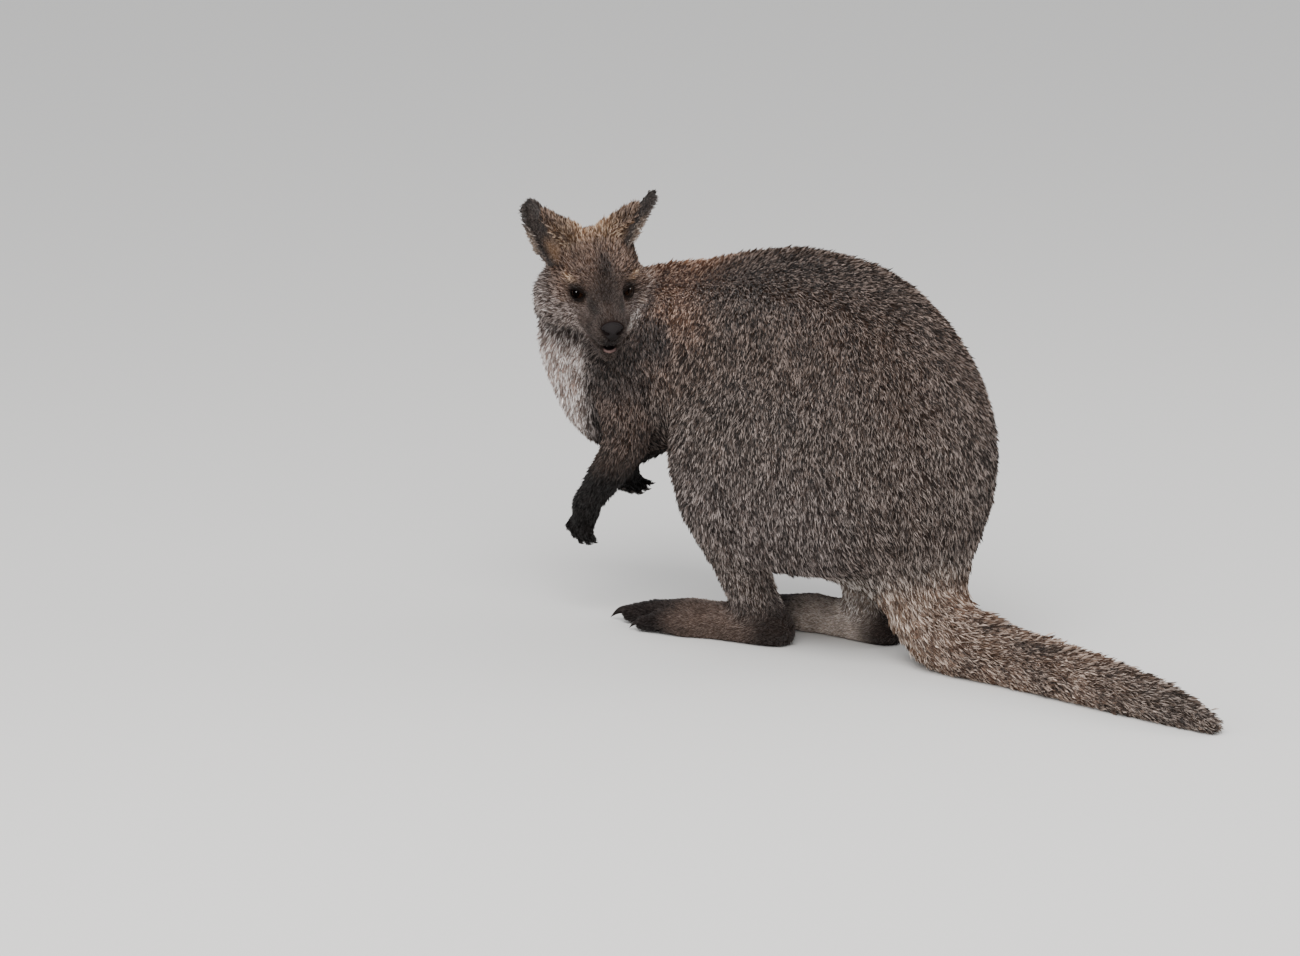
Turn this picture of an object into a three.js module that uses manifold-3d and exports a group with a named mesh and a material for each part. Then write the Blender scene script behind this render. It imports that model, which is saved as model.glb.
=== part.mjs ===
// A red-necked wallaby, life size, crouched on its hind feet and tail and looking back over its left
// shoulder. Lengths are millimetres. In the stance +X is the animal's left, +Y its rear and +Z up, and the
// floor is z = 0. The sizes are those of the coat's outer surface. At the end the group is moved so that the
// origin is the middle of the model's footprint, on the floor.
import * as THREE from "three";
import Module from "manifold-3d";

const wasm = await Module();
wasm.setup();
const { Manifold, Mesh: SolidMesh } = wasm;

// ---------------------------------------------------------------- driving dimensions

const SEAM = 0.3; // gap between touching pieces
const LEFT = 1, RIGHT = -1;

// Trunk: masses given as centre, radii and nose-down pitch in degrees.
const BARREL = { at: [0, 50, 260], radii: [94, 176, 178], pitch: 0 };
const RUMP = { at: [0, 120, 212], radii: [94, 116, 138], pitch: 0 };
const LOIN = { at: [0, -30, 308], radii: [80, 118, 122], pitch: 6 };
const THORAX = { at: [0, -142, 306], radii: [66, 132, 98], pitch: 20 };
const BREAST = { at: [0, -245, 268], radii: [49, 80, 84], pitch: 30 };
const TRUNK_BLEND = 52;

// Neck: a bent column from the shoulders round to the back of the skull.
const NECK = [[0, -165, 334], [2, -222, 338], [34, -244, 372]];
const NECK_RADII = [64, 58, 46];
const NECK_SLIM = 1.18;
const THROAT = { at: [12, -271, 318], radii: [46, 64, 64], pitch: 20 };
const RUFF = { at: [-54, -40, -33], radii: [32, 25, 36] }; // by the right cheek, in the head's axes
const JOWL = { at: [-22, 35, -20], radii: [26, 24, 31] }; // the long hair of the left cheek

// Hind limbs. The right foot stands behind the left by STAGGER.
const STAGGER = 101;
const HEEL_X = { left: 44, right: -28 };
const TOE_OUT = { left: 5, right: 4 }; // degrees
const HAUNCH = { at: [66, 12, 200], radii: [52, 138, 108], pitch: -6 };
const HAUNCH_CUT = { at: [112, 4, 186], radii: [74, 134, 116], pitch: -8 }; // parts the haunch from the torso
const SHANK = [[72, -51, 160], [58, -40, 96], [46, -27, 46]];
const SHANK_RADII = [44, 31, 26];
const HEEL_Y = -4;

// Fore limbs.
const SHOULDER = { at: [44, -196, 296], radii: [30, 50, 60], pitch: 8 };
const ARM_RADII = [36, 29, 25, 16]; // shoulder, upper arm, elbow, wrist
const ARM_LEFT = [[50, -206, 292], [62, -190, 244], [66, -190, 210], [60, -244, 134]];
const ARM_RIGHT = [[-50, -212, 292], [-64, -204, 244], [-68, -204, 214], [-46, -262, 164]];

// Tail: from the rump down to the floor, then along it.
const TAIL = [
  [0, 136, 190], [0, 156, 118], [6, 172, 68], [20, 208, 40], [32, 290, 28],
  [46, 372, 25], [58, 440, 22], [70, 510, 16], [82, 568, 8],
];
const TAIL_RADII = [74, 53, 47, 41, 31, 27, 24, 18, 8];

// Head, in its own axes: x towards the nose, y to the left, z up, from the point between the eyes.
const HEAD_AT = [84, -208, 387];
const HEAD_TURN = { yaw: 134.5, pitch: 15, roll: 0.5 }; // degrees; yaw 0 looks forward along -Y
const EYE = { at: [1, 24, -1], radius: 11 };
const EYE_LOOK = [0.66, 0.68, 0.3];
const LID = { length: 20.5, height: 14, depth: 7, thick: 1.6 };
const SOCKET = { at: [15, 36, 5], radii: [19, 15, 17] }; // the hollow in front of the eye
const EAR = { length: 70, width: 40, cup: 13, thick: 5 };
// Each ear: its root, the way it points and opens, and the long hair from its inner side down to the crown.
const EARS = {
  left: {
    root: [-40, 35, 32], points: [-6, 29, 60], opens: [0.2, 0.9, -0.39],
    fluff: [[-44, 42, 73], [-42, 10, 53], 10, 11],
  },
  right: {
    root: [-40, -54, 28], points: [-6, -28, 63], opens: [-0.62, -0.72, -0.28],
    fluff: [[-45, -60, 67], [-44, -32, 49], 12, 14],
  },
};
const EAR_SUNK = 12, EAR_BOW = 3;
const NOSE = { at: [68, 0, -16], radii: [12, 14, 11], nostril: [75, 9.5, -15], groove: [73, 0, -25] };
const MOUTH = { corner: 29, level: -38, fall: 0.2 }; // the lips part in front of the corner
const LIP = {
  points: [[32, 16, -40], [50, 11, -43], [59, 0, -46], [50, -11, -43], [32, -16, -40]], radius: 3.4,
};

// ---------------------------------------------------------------- fields

// A field gives the signed distance to a surface at a point, less than 0 inside it.
const radians = THREE.MathUtils.degToRad;
const { abs, cos, hypot, max, min, sin, PI } = Math;

function mass({ at, radii, pitch = 0, roll = 0 }) {
  const [rx, ry, rz] = radii;
  const euler = new THREE.Euler(radians(pitch), radians(roll), 0);
  const turn = new THREE.Matrix4().makeRotationFromEuler(euler).elements;
  return (x, y, z) => {
    const dx = x - at[0], dy = y - at[1], dz = z - at[2];
    const u = (dx * turn[0] + dy * turn[1] + dz * turn[2]) / rx;
    const v = (dx * turn[4] + dy * turn[5] + dz * turn[6]) / ry;
    const w = (dx * turn[8] + dy * turn[9] + dz * turn[10]) / rz;
    const reach = hypot(u, v, w), slope = hypot(u / rx, v / ry, w / rz);
    return slope < 1e-9 ? -min(rx, ry, rz) : (reach * (reach - 1)) / slope;
  };
}

// A bar from a to b whose radius runs from ra to rb. It is slim times narrower in x.
function bar(a, b, ra, rb, slim = 1) {
  const [bx, by, bz] = [b[0] - a[0], b[1] - a[1], b[2] - a[2]];
  const lengthSquared = bx * bx + by * by + bz * bz;
  return (x, y, z) => {
    const dx = x - a[0], dy = y - a[1], dz = z - a[2];
    const t = min(1, max(0, (dx * bx + dy * by + dz * bz) / lengthSquared));
    return hypot((dx - t * bx) * slim, dy - t * by, dz - t * bz) - (ra + t * (rb - ra));
  };
}

function blend(k, ...fields) {
  return (x, y, z) => {
    let d = fields[0](x, y, z);
    for (let i = 1; i < fields.length; i++) {
      const e = fields[i](x, y, z);
      const h = max(k - abs(d - e), 0) / k;
      d = min(d, e) - (h * h * k) / 4;
    }
    return d;
  };
}

// The field with the tools' insides taken out of it.
function hollow(k, field, ...tools) {
  return (x, y, z) => {
    let d = field(x, y, z);
    for (const tool of tools) {
      const e = -tool(x, y, z);
      const h = max(k - abs(d - e), 0) / k;
      d = max(d, e) + (h * h * k) / 4;
    }
    return d;
  };
}

// A smooth curve through the points, with the radius running along it, as a chain of bars.
function column(points, radii, pieces = 3, slim = 1) {
  const curve = new THREE.CatmullRomCurve3(points.map((p) => new THREE.Vector3(...p)), false, "centripetal");
  const count = (points.length - 1) * pieces;
  const radiusAt = (t) => {
    const s = t * (radii.length - 1), i = min(Math.floor(s), radii.length - 2);
    return THREE.MathUtils.lerp(radii[i], radii[i + 1], s - i);
  };
  const bars = [];
  for (let i = 0; i < count; i++) {
    const [a, b] = [i / count, (i + 1) / count];
    bars.push(bar(curve.getPoint(a).toArray(), curve.getPoint(b).toArray(), radiusAt(a), radiusAt(b), slim));
  }
  return (x, y, z) => min(...bars.map((f) => f(x, y, z)));
}

// A limb with the fillet of width k where it grows from a body, and nothing of that body beyond the fillet.
function rooted(k, base, limb) {
  const joined = blend(k, base, limb);
  return (x, y, z) => max(joined(x, y, z), limb(x, y, z) - 0.7 * k);
}

const mirrored = (field) => (x, y, z) => field(-x, y, z);
const shifted = (field, [a, b, c]) => (x, y, z) => field(x - a, y - b, z - c);

// A field given in a frame's own axes, seen from the stance.
function seenFrom(frame, field) {
  const e = frame.clone().invert().elements;
  return (x, y, z) => field(
    e[0] * x + e[4] * y + e[8] * z + e[12],
    e[1] * x + e[5] * y + e[9] * z + e[13],
    e[2] * x + e[6] * y + e[10] * z + e[14],
  );
}

// ---------------------------------------------------------------- surfaces

// The closed surface where a field is 0 within a box, by surface nets: one vertex in each grid cell that the
// surface crosses, evened out and drawn on to the surface. The grid is moved until each edge has two faces.
class FieldGeometry extends THREE.BufferGeometry {
  constructor(field, [low, high], steps) {
    super();
    this.field = field;
    this.pitch = Array.isArray(steps) ? steps : [steps, steps, steps];
    this.step = min(...this.pitch);
    let net;
    for (let tries = 0; !net && tries < 24; tries++) {
      const start = low.map((c, k) => c - this.pitch[k] * ((tries * (0.31 + 0.12 * k)) % 1));
      net = this.weave(start, high);
    }
    const { vertices, quads } = net;
    this.settle(vertices, quads);
    const index = [];
    for (const [a, b, c, d] of quads) {
      const apart = (m, n) => hypot(...[0, 1, 2].map((q) => vertices[m][q] - vertices[n][q]));
      if (apart(a, c) <= apart(b, d)) index.push(a, b, c, a, c, d);
      else index.push(a, b, d, b, c, d);
    }
    this.setAttribute("position", new THREE.Float32BufferAttribute(vertices.flat(), 3));
    this.setIndex(index);
  }

  weave(low, high) {
    const { field, pitch, step } = this;
    const [nx, ny, nz] = pitch.map((p, k) => Math.ceil((high[k] - low[k]) / p) + 1);
    const at = (i, j, k) => i + nx * (j + ny * k);
    const value = new Float64Array(nx * ny * nz);
    for (let k = 0; k < nz; k++) {
      for (let j = 0; j < ny; j++) {
        for (let i = 0; i < nx; i++) {
          const rim = i === 0 || j === 0 || k === 0 || i === nx - 1 || j === ny - 1 || k === nz - 1;
          const d = field(low[0] + i * pitch[0], low[1] + j * pitch[1], low[2] + k * pitch[2]);
          value[at(i, j, k)] = rim ? max(d, step * 0.4) : d || 1e-9;
        }
      }
    }
    const corners = [0, 1, 2, 3, 4, 5, 6, 7].map((c) => [c & 1, (c >> 1) & 1, c >> 2]);
    const vertexOf = new Map(), vertices = [];
    for (let k = 0; k < nz - 1; k++) {
      for (let j = 0; j < ny - 1; j++) {
        for (let i = 0; i < nx - 1; i++) {
          let crossings = 0;
          const sum = [0, 0, 0];
          for (let a = 0; a < 8; a++) {
            for (const axis of [0, 1, 2]) {
              const b = a | (1 << axis);
              if (b === a) continue;
              const va = value[at(i + corners[a][0], j + corners[a][1], k + corners[a][2])];
              const vb = value[at(i + corners[b][0], j + corners[b][1], k + corners[b][2])];
              if (va < 0 === vb < 0) continue;
              const t = va / (va - vb);
              for (const m of [0, 1, 2]) sum[m] += corners[a][m] + t * (corners[b][m] - corners[a][m]);
              crossings++;
            }
          }
          if (!crossings) continue;
          vertexOf.set(at(i, j, k), vertices.length);
          vertices.push([i, j, k].map((c, m) => low[m] + pitch[m] * (c + sum[m] / crossings)));
        }
      }
    }
    const quads = [], faces = new Map();
    const stride = [1, nx, nx * ny];
    for (let k = 0; k < nz - 1; k++) {
      for (let j = 0; j < ny - 1; j++) {
        for (let i = 0; i < nx - 1; i++) {
          const here = at(i, j, k), inside = value[here] < 0;
          for (const axis of [0, 1, 2]) {
            if (value[here + stride[axis]] < 0 === inside) continue;
            const [p, q] = [stride[(axis + 1) % 3], stride[(axis + 2) % 3]];
            const quad = [here - p - q, here - q, here, here - p].map((c) => vertexOf.get(c));
            quads.push(inside ? quad : quad.reverse());
            quad.forEach((v, n) => {
              const w = quad[(n + 1) % 4], edge = min(v, w) * vertices.length + max(v, w);
              faces.set(edge, (faces.get(edge) ?? 0) + 1);
            });
          }
        }
      }
    }
    return [...faces.values()].every((count) => count === 2) ? { vertices, quads } : null;
  }

  slope(x, y, z) {
    const { field } = this, d = this.step * 0.05;
    return [
      field(x + d, y, z) - field(x - d, y, z),
      field(x, y + d, z) - field(x, y - d, z),
      field(x, y, z + d) - field(x, y, z - d),
    ].map((c) => c / (2 * d));
  }

  // Evens out the net, keeping its vertices on the surface. A vertex that only closes the box stays put.
  settle(vertices, quads, rounds = 4) {
    const { field, step } = this;
    const neighbours = vertices.map(() => new Set());
    for (const quad of quads) {
      quad.forEach((v, i) => neighbours[v].add(quad[(i + 1) % 4]).add(quad[(i + 3) % 4]));
    }
    this.free = vertices.map(([x, y, z]) => abs(field(x, y, z)) < step);
    for (let round = 0; round < rounds; round++) {
      const moved = vertices.map((v, i) => {
        if (!this.free[i]) return v;
        const ring = [...neighbours[i]];
        return v.map((c, m) => 0.5 * c + (0.5 * ring.reduce((s, n) => s + vertices[n][m], 0)) / ring.length);
      });
      moved.forEach((v, i) => {
        if (!this.free[i]) return;
        for (let pass = 0; pass < 2; pass++) {
          const d = max(-step, min(step, field(...v)));
          const g = this.slope(...v);
          const steepness = max(0.3, g[0] ** 2 + g[1] ** 2 + g[2] ** 2);
          v = v.map((c, m) => c - (d * g[m]) / steepness);
        }
        vertices[i] = v;
      });
    }
  }

  // The same net with its surface moved outwards.
  grown(amount) {
    const copy = new THREE.BufferGeometry();
    const old = this.getAttribute("position"), points = [];
    for (let i = 0; i < old.count; i++) {
      const p = [old.getX(i), old.getY(i), old.getZ(i)];
      if (this.free[i]) {
        const g = this.slope(...p), steepness = max(0.2, hypot(...g));
        p.forEach((c, m) => (p[m] = c + (amount * g[m]) / steepness));
      }
      points.push(...p);
    }
    copy.setAttribute("position", new THREE.Float32BufferAttribute(points, 3));
    copy.setIndex(this.getIndex().clone());
    return copy;
  }
}

// ---------------------------------------------------------------- solids

function solidOf(geometry) {
  const position = geometry.getAttribute("position");
  return new Manifold(new SolidMesh({
    numProp: 3,
    vertProperties: new Float32Array(position.array),
    triVerts: new Uint32Array(geometry.getIndex().array),
  }));
}

// A stock three.js shape, with the vertices along its joins merged.
function stock(geometry, matrix = new THREE.Matrix4()) {
  const bare = new THREE.BufferGeometry();
  const source = geometry.getAttribute("position"), key = new Map(), points = [], index = [];
  const old = geometry.getIndex().array;
  for (const i of old) {
    const p = [source.getX(i), source.getY(i), source.getZ(i)];
    const name = p.map((c) => c.toFixed(4) * 1 || 0).join();
    if (!key.has(name)) key.set(name, points.push(p) - 1);
    index.push(key.get(name));
  }
  const kept = [];
  for (let i = 0; i < index.length; i += 3) {
    const [a, b, c] = index.slice(i, i + 3);
    if (a !== b && b !== c && a !== c) kept.push(a, b, c);
  }
  bare.setAttribute("position", new THREE.Float32BufferAttribute(points.flat(), 3));
  bare.setIndex(kept);
  bare.applyMatrix4(matrix);
  return solidOf(bare);
}

function ellipsoid(at, radii, euler = [0, 0, 0], detail = [32, 20]) {
  const matrix = new THREE.Matrix4().compose(
    new THREE.Vector3(...at),
    new THREE.Quaternion().setFromEuler(new THREE.Euler(...euler.map(radians))),
    new THREE.Vector3(...radii),
  );
  return stock(new THREE.SphereGeometry(1, ...detail), matrix);
}

// All space on the side of a plane that its normal points to, as a large box that starts gap from the plane.
function side(point, normal, gap = SEAM / 2) {
  const reach = 2000;
  const n = new THREE.Vector3(...normal).normalize();
  const centre = new THREE.Vector3(...point).addScaledVector(n, gap + reach / 2);
  const turn = new THREE.Quaternion().setFromUnitVectors(new THREE.Vector3(0, 0, 1), n);
  const place = new THREE.Matrix4().compose(centre, turn, new THREE.Vector3(1, 1, 1));
  return stock(new THREE.BoxGeometry(reach, reach, reach), place);
}
const before = (point, normal) => side(point, normal.map((c) => -c));

// Only the largest closed surface of a solid, so that a loose scrap goes.
function largest(solid) {
  return solid.decompose().reduce((best, s) => (s.volume() > best.volume() ? s : best));
}

const floor = side([0, 0, 0], [0, 0, 1], 0);

// ---------------------------------------------------------------- the body's fields

const trunk = blend(TRUNK_BLEND, ...[BARREL, RUMP, LOIN, THORAX, BREAST].map(mass));
const neck = blend(40, column(NECK, NECK_RADII, 3, NECK_SLIM), mass(THROAT));
const haunchLeft = mass(HAUNCH);
const HAUNCH_LAG = STAGGER * 0.45; // how far the right haunch is behind the left one
const haunchRight = shifted(mirrored(haunchLeft), [0, HAUNCH_LAG, 0]);
const shoulders = [mass(SHOULDER), mirrored(mass(SHOULDER))];
const tail = column(TAIL, TAIL_RADII);
const body = blend(34, blend(34, trunk, neck), haunchLeft, haunchRight, ...shoulders, tail);

const legLeft = column(SHANK, SHANK_RADII);
const legRight = shifted(mirrored(legLeft), [HEEL_X.left + HEEL_X.right, STAGGER, 0]);

// A hind foot with its heel at the origin, pointing along -Y, for the left side (+X is its outer side).
const FOOT = (() => {
  const sole = bar([0, 4, 15], [2, -96, 13], 20, 18);
  const instep = bar([0, -14, 26], [2, -92, 16], 20, 15);
  const pad = mass({ at: [3, -112, 14], radii: [25, 34, 18] });
  const fourth = column([[1, -112, 17], [0, -148, 17], [-1, -182, 11]], [17, 14, 10]);
  const fifth = column([[16, -104, 13], [22, -128, 14], [25, -152, 9]], [13, 11, 8]);
  const second = column([[-14, -98, 13], [-17, -126, 12], [-17, -146, 8]], [10, 7.5, 5.5]);
  return blend(9, blend(22, sole, instep, pad), fourth, fifth, second);
})();
const HEELS = {
  left: [HEEL_X.left, HEEL_Y, 0],
  right: [HEEL_X.right, HEEL_Y + STAGGER, 0],
};
const FOOT_FRAMES = {
  left: new THREE.Matrix4().makeRotationZ(radians(TOE_OUT.left)).setPosition(...HEELS.left),
  right: new THREE.Matrix4().makeRotationZ(radians(-TOE_OUT.right)).setPosition(...HEELS.right),
};
const footLeft = seenFrom(FOOT_FRAMES.left, FOOT);
const footRight = seenFrom(FOOT_FRAMES.right, mirrored(FOOT));
const hindLeft = blend(20, legLeft, footLeft);
const hindRight = blend(20, legRight, footRight);

// ---------------------------------------------------------------- fore limbs

// A hand in its own axes: x out to the thumb's side, y along the fingers, z out of the back of the hand.
const DIGITS = [-2, -1, 0, 1, 2];
function digit(n, curl) {
  const spread = radians(13 * n);
  const reach = 22 - 1.6 * abs(n - 0.3) ** 1.6;
  const root = [n * 5.8, 11 - abs(n) * 1.2, 1.5];
  const knuckle = [root[0] + sin(spread) * reach * 0.55, root[1] + cos(spread) * reach * 0.55, 2.5];
  const tip = [
    knuckle[0] + sin(spread) * reach * 0.45,
    knuckle[1] + cos(spread) * reach * 0.45 * cos(curl),
    knuckle[2] - reach * 0.45 * sin(curl) - 1,
  ];
  return { root, knuckle, tip };
}
function handField(curl) {
  const heel = mass({ at: [0, -8, 0], radii: [14, 14, 12.5] });
  const palm = blend(10, mass({ at: [0, 3, 0], radii: [15.5, 15, 10.5] }), heel);
  const fingers = DIGITS.map((n) => {
    const d = digit(n, curl);
    return blend(2, bar(d.root, d.knuckle, 5.4, 4.9), bar(d.knuckle, d.tip, 4.9, 4.2));
  });
  return blend(4, palm, ...fingers);
}

// The frame at the end of a limb: origin at the wrist, y along the fingers.
function handFrame(at, along, back) {
  const y = new THREE.Vector3(...along).normalize();
  const x = new THREE.Vector3().crossVectors(y, new THREE.Vector3(...back)).normalize();
  const z = new THREE.Vector3().crossVectors(x, y);
  return new THREE.Matrix4().makeBasis(x, y, z).setPosition(...at);
}

// Each hand: its wrist, the way of its fingers, the way of its back and the curl of its fingers in degrees.
const HANDS = {
  left: { at: [60, -249, 116], along: [-0.04, -0.28, -1], back: [0.95, -0.1, 0.12], curl: 28 },
  right: { at: [-45, -262, 148], along: [0.1, 0.5, -0.85], back: [-0.25, -0.9, -0.45], curl: 45 },
};
const arms = { left: { points: ARM_LEFT }, right: { points: ARM_RIGHT } };
for (const [name, arm] of Object.entries(arms)) {
  const { at, along, back, curl } = HANDS[name];
  arm.curl = radians(curl);
  arm.frame = handFrame(at, along, back);
  arm.hand = seenFrom(arm.frame, handField(arm.curl));
  arm.field = blend(10, column(arm.points, ARM_RADII), arm.hand);
}

// ---------------------------------------------------------------- the head

const HEAD = (() => {
  const { yaw, pitch, roll } = HEAD_TURN;
  // The head's own x runs to the nose; at yaw 0 that is -Y of the stance.
  const turn = new THREE.Matrix4()
    .makeRotationZ(radians(yaw - 90))
    .multiply(new THREE.Matrix4().makeRotationY(radians(pitch)))
    .multiply(new THREE.Matrix4().makeRotationX(radians(roll)));
  return turn.setPosition(...HEAD_AT);
})();

const EAR_FRAMES = Object.fromEntries(Object.entries(EARS).map(([name, { root, points, opens }]) => {
  const y = new THREE.Vector3(...points).normalize();
  const x = new THREE.Vector3().crossVectors(y, new THREE.Vector3(...opens)).normalize();
  const z = new THREE.Vector3().crossVectors(x, y);
  return [name, new THREE.Matrix4().makeBasis(x, y, z).setPosition(...root)];
}));

const both = (at, radii) => [LEFT, RIGHT].map((s) => mass({ at: [at[0], s * at[1], at[2]], radii }));
const face = (() => {
  const skull = mass({ at: [-40, 0, 8], radii: [50, 46, 46] });
  const brow = mass({ at: [-12, 0, 8], radii: [32, 25, 26] });
  const bridge = bar([0, 0, 4], [53, 0, -9], 19, 11.5);
  const muzzle = bar([0, 0, -15], [49, 0, -21], 24, 13.5);
  const jaw = bar([-26, 0, -32], [52, 0, -52], 27, 8.5);
  const nose = mass({ at: [60, 0, -15.5], radii: [13.5, 13.5, 11] });
  const cheeks = both([-38, 30, -24], [36, 27, 32]);
  const lips = [LEFT, RIGHT].map((s) => bar([16, s * 16, -27], [54, s * 6, -28], 11, 8.5));
  const earRoots = Object.values(EARS).map(({ root: [x, y, z] }) => (
    mass({ at: [x - 2, y * 0.8, z - 4], radii: [18, 12, 16] })
  ));
  const earFluff = Object.values(EARS).map(({ fluff }) => bar(...fluff));
  const head = blend(20, skull, brow, bridge, muzzle, jaw, ...cheeks);
  const sockets = both(SOCKET.at, SOCKET.radii);
  return blend(12, hollow(9, blend(12, head, ...lips), ...sockets), nose, ...earRoots, ...earFluff);
})();
const snout = blend(3, face, column(LIP.points, [LIP.radius, LIP.radius]));
const figure = blend(14, seenFrom(HEAD, blend(14, face, mass(RUFF), mass(JOWL))), body);

// The head's share of the body, in the head's axes: in front of its base, above its floor and inside its
// left cheek.
const HEAD_BOUNDS = [
  { at: [-48, 8, -36], normal: [0.62, -0.3, 0.72] },
  { at: [0, 0, -66], normal: [-0.1, 0, 1] },
  { at: [-10, 58, 0], normal: [0.1, -1, 0.1] },
];
const SNOUT_CUT = { at: [30, 0, 0], normal: [1, 0, 0] };
const inStance = ({ at, normal }, gap) => side(
  new THREE.Vector3(...at).applyMatrix4(HEAD).toArray(),
  new THREE.Vector3(...normal).transformDirection(HEAD).toArray(), gap,
);
const headShare = (gap) => HEAD_BOUNDS.map((bound) => inStance(bound, gap))
  .reduce((shared, half) => shared.intersect(half)).subtract(inStance(SNOUT_CUT, -gap));

// ---------------------------------------------------------------- materials

const coat = (color, roughness = 0.95) => new THREE.MeshStandardMaterial({ color, roughness, metalness: 0 });
const COAT = {
  back: coat(0x5d5047), grey: coat(0x6a6260), rufous: coat(0x7d5a43), throat: coat(0x8d837d),
  face: coat(0x5f534b), dark: coat(0x2a2626), tail: coat(0x665849), ear: coat(0x4c413b),
};
const BARE = {
  eye: coat(0x0c0908, 0.08), nose: coat(0x17171a, 0.45), claw: coat(0x141212, 0.35),
};

// The mesh of a solid with each edge shorter than the limit drawn together to a point.
function welded({ vertProperties, triVerts }, limit = 0.04) {
  const parent = Array.from({ length: vertProperties.length / 3 }, (_, i) => i);
  const root = (i) => {
    while (parent[i] !== i) i = parent[i];
    return i;
  };
  const gap = (a, b) => hypot(...[0, 1, 2].map((k) => vertProperties[a * 3 + k] - vertProperties[b * 3 + k]));
  for (let i = 0; i < triVerts.length; i += 3) {
    for (const k of [0, 1, 2]) {
      const [a, b] = [root(triVerts[i + k]), root(triVerts[i + ((k + 1) % 3)])];
      if (a !== b && gap(a, b) < limit) parent[max(a, b)] = min(a, b);
    }
  }
  const index = [];
  for (let i = 0; i < triVerts.length; i += 3) {
    const [a, b, c] = [0, 1, 2].map((k) => root(triVerts[i + k]));
    if (a !== b && b !== c && c !== a) index.push(a, b, c);
  }
  const used = [...new Set(index)], place = new Map(used.map((v, i) => [v, i]));
  const geometry = new THREE.BufferGeometry();
  const points = used.flatMap((v) => [0, 1, 2].map((k) => vertProperties[v * 3 + k]));
  geometry.setAttribute("position", new THREE.Float32BufferAttribute(points, 3));
  geometry.setIndex(index.map((v) => place.get(v)));
  return geometry;
}

const model = new THREE.Group();
function add(name, solid, material) {
  const whole = solidOf(welded(largest(solid).getMesh()));
  const node = new THREE.Mesh(welded(largest(whole).getMesh()), material);
  node.name = name;
  model.add(node);
}

// A field's solid and the same solid grown by the seam, to be cut from the neighbours that rest against it.
function grownPair(field, box, step, frame = new THREE.Matrix4()) {
  const net = new FieldGeometry(field, box, step);
  return [net.grown(0), net.grown(SEAM)].map((surface) => solidOf(surface.applyMatrix4(frame)));
}

// A solid made in the head's axes, in its place.
function placed(solid) {
  const mesh = solid.getMesh(), geometry = new THREE.BufferGeometry();
  geometry.setAttribute("position", new THREE.Float32BufferAttribute(mesh.vertProperties, 3));
  geometry.setIndex(new THREE.Uint32BufferAttribute(mesh.triVerts, 1));
  return solidOf(geometry.applyMatrix4(HEAD));
}

const cut = (solid, plane, keep) => solid.intersect((keep > 0 ? side : before)(plane.at, plane.normal));

// ---------------------------------------------------------------- torso, neck and haunches

const TRUNK_STEP = 26, SKULL_STEP = [11.5, 10.5, 10.5], SNOUT_STEP = [7, 6, 6];
const [trunkSolid, trunkGrown] = grownPair(figure, [[-150, -345, 20], [150, 330, 490]], TRUNK_STEP);

const haunchCutter = (s, grow) => ellipsoid(
  [s * HAUNCH_CUT.at[0], HAUNCH_CUT.at[1] + (s === RIGHT ? HAUNCH_LAG : 0), HAUNCH_CUT.at[2]],
  HAUNCH_CUT.radii.map((r) => r + grow), [HAUNCH_CUT.pitch, 0, 0], [18, 12],
);
const torso = trunkSolid.subtract(haunchCutter(LEFT, SEAM)).subtract(haunchCutter(RIGHT, SEAM));
const inHead = (x, y, z) => figure(...new THREE.Vector3(x, y, z).applyMatrix4(HEAD));
const [skull, skullGrown] = grownPair(inHead, [[-110, -92, -100], [50, 80, 104]], SKULL_STEP);
const headGrown = placed(skullGrown).intersect(headShare(-SEAM / 2));
const [snoutSolid, snoutGrown] = grownPair(snout, [[10, -50, -75], [92, 50, 40]], SNOUT_STEP);

const NAPE = { at: [2, -214, 330], normal: [0.05, -0.88, 0.42] }; // between torso and neck
const CHEST_CUT = { at: [0, -92, 300], normal: [0, 1, 0.1] };
const LOIN_CUT = { at: [0, 62, 260], normal: [0, 1, 0] };
const TAIL_ROOT = { at: [0, 134, 112], normal: [0, 0.75, -0.66] };

const torsoOnly = cut(cut(torso, NAPE, -1), TAIL_ROOT, -1)
  .subtract(headShare(-SEAM / 2))
  .subtract(placed(snoutGrown));
add("chest", cut(torsoOnly, CHEST_CUT, -1), COAT.grey);
add("belly", cut(cut(torsoOnly, CHEST_CUT, 1), LOIN_CUT, -1), COAT.back);
add("rump", cut(torsoOnly, LOIN_CUT, 1), COAT.back);
add("haunch_left", cut(trunkSolid.intersect(haunchCutter(LEFT, 0)), TAIL_ROOT, -1), COAT.back);
add("haunch_right", cut(trunkSolid.intersect(haunchCutter(RIGHT, 0)), TAIL_ROOT, -1), COAT.back);

// ---------------------------------------------------------------- tail

const TAIL_CUTS = [
  TAIL_ROOT,
  { at: [16, 214, 44], normal: [0.3, 0.8, -0.5] },
  { at: [48, 330, 26], normal: [0.2, 1, 0] },
  { at: [68, 470, 22], normal: [0.2, 1, 0] },
];
const TAIL_STEP = [15, 27, 15], TIP_STEP = [9, 20, 9];
const [tailBase, tailGrown] = grownPair(body, [[-90, 60, -12], [180, 420, 240]], TAIL_STEP);
const tailEnd = solidOf(new FieldGeometry(tail, [[0, 300, -12], [130, 640, 70]], TIP_STEP));
TAIL_CUTS.forEach((plane, i) => {
  let length = cut((i < 2 ? tailBase : tailEnd).intersect(floor), plane, 1);
  if (TAIL_CUTS[i + 1]) length = cut(length, TAIL_CUTS[i + 1], -1);
  add(`tail_${i + 1}`, length, COAT.tail);
});

// ---------------------------------------------------------------- hind limbs

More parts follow.
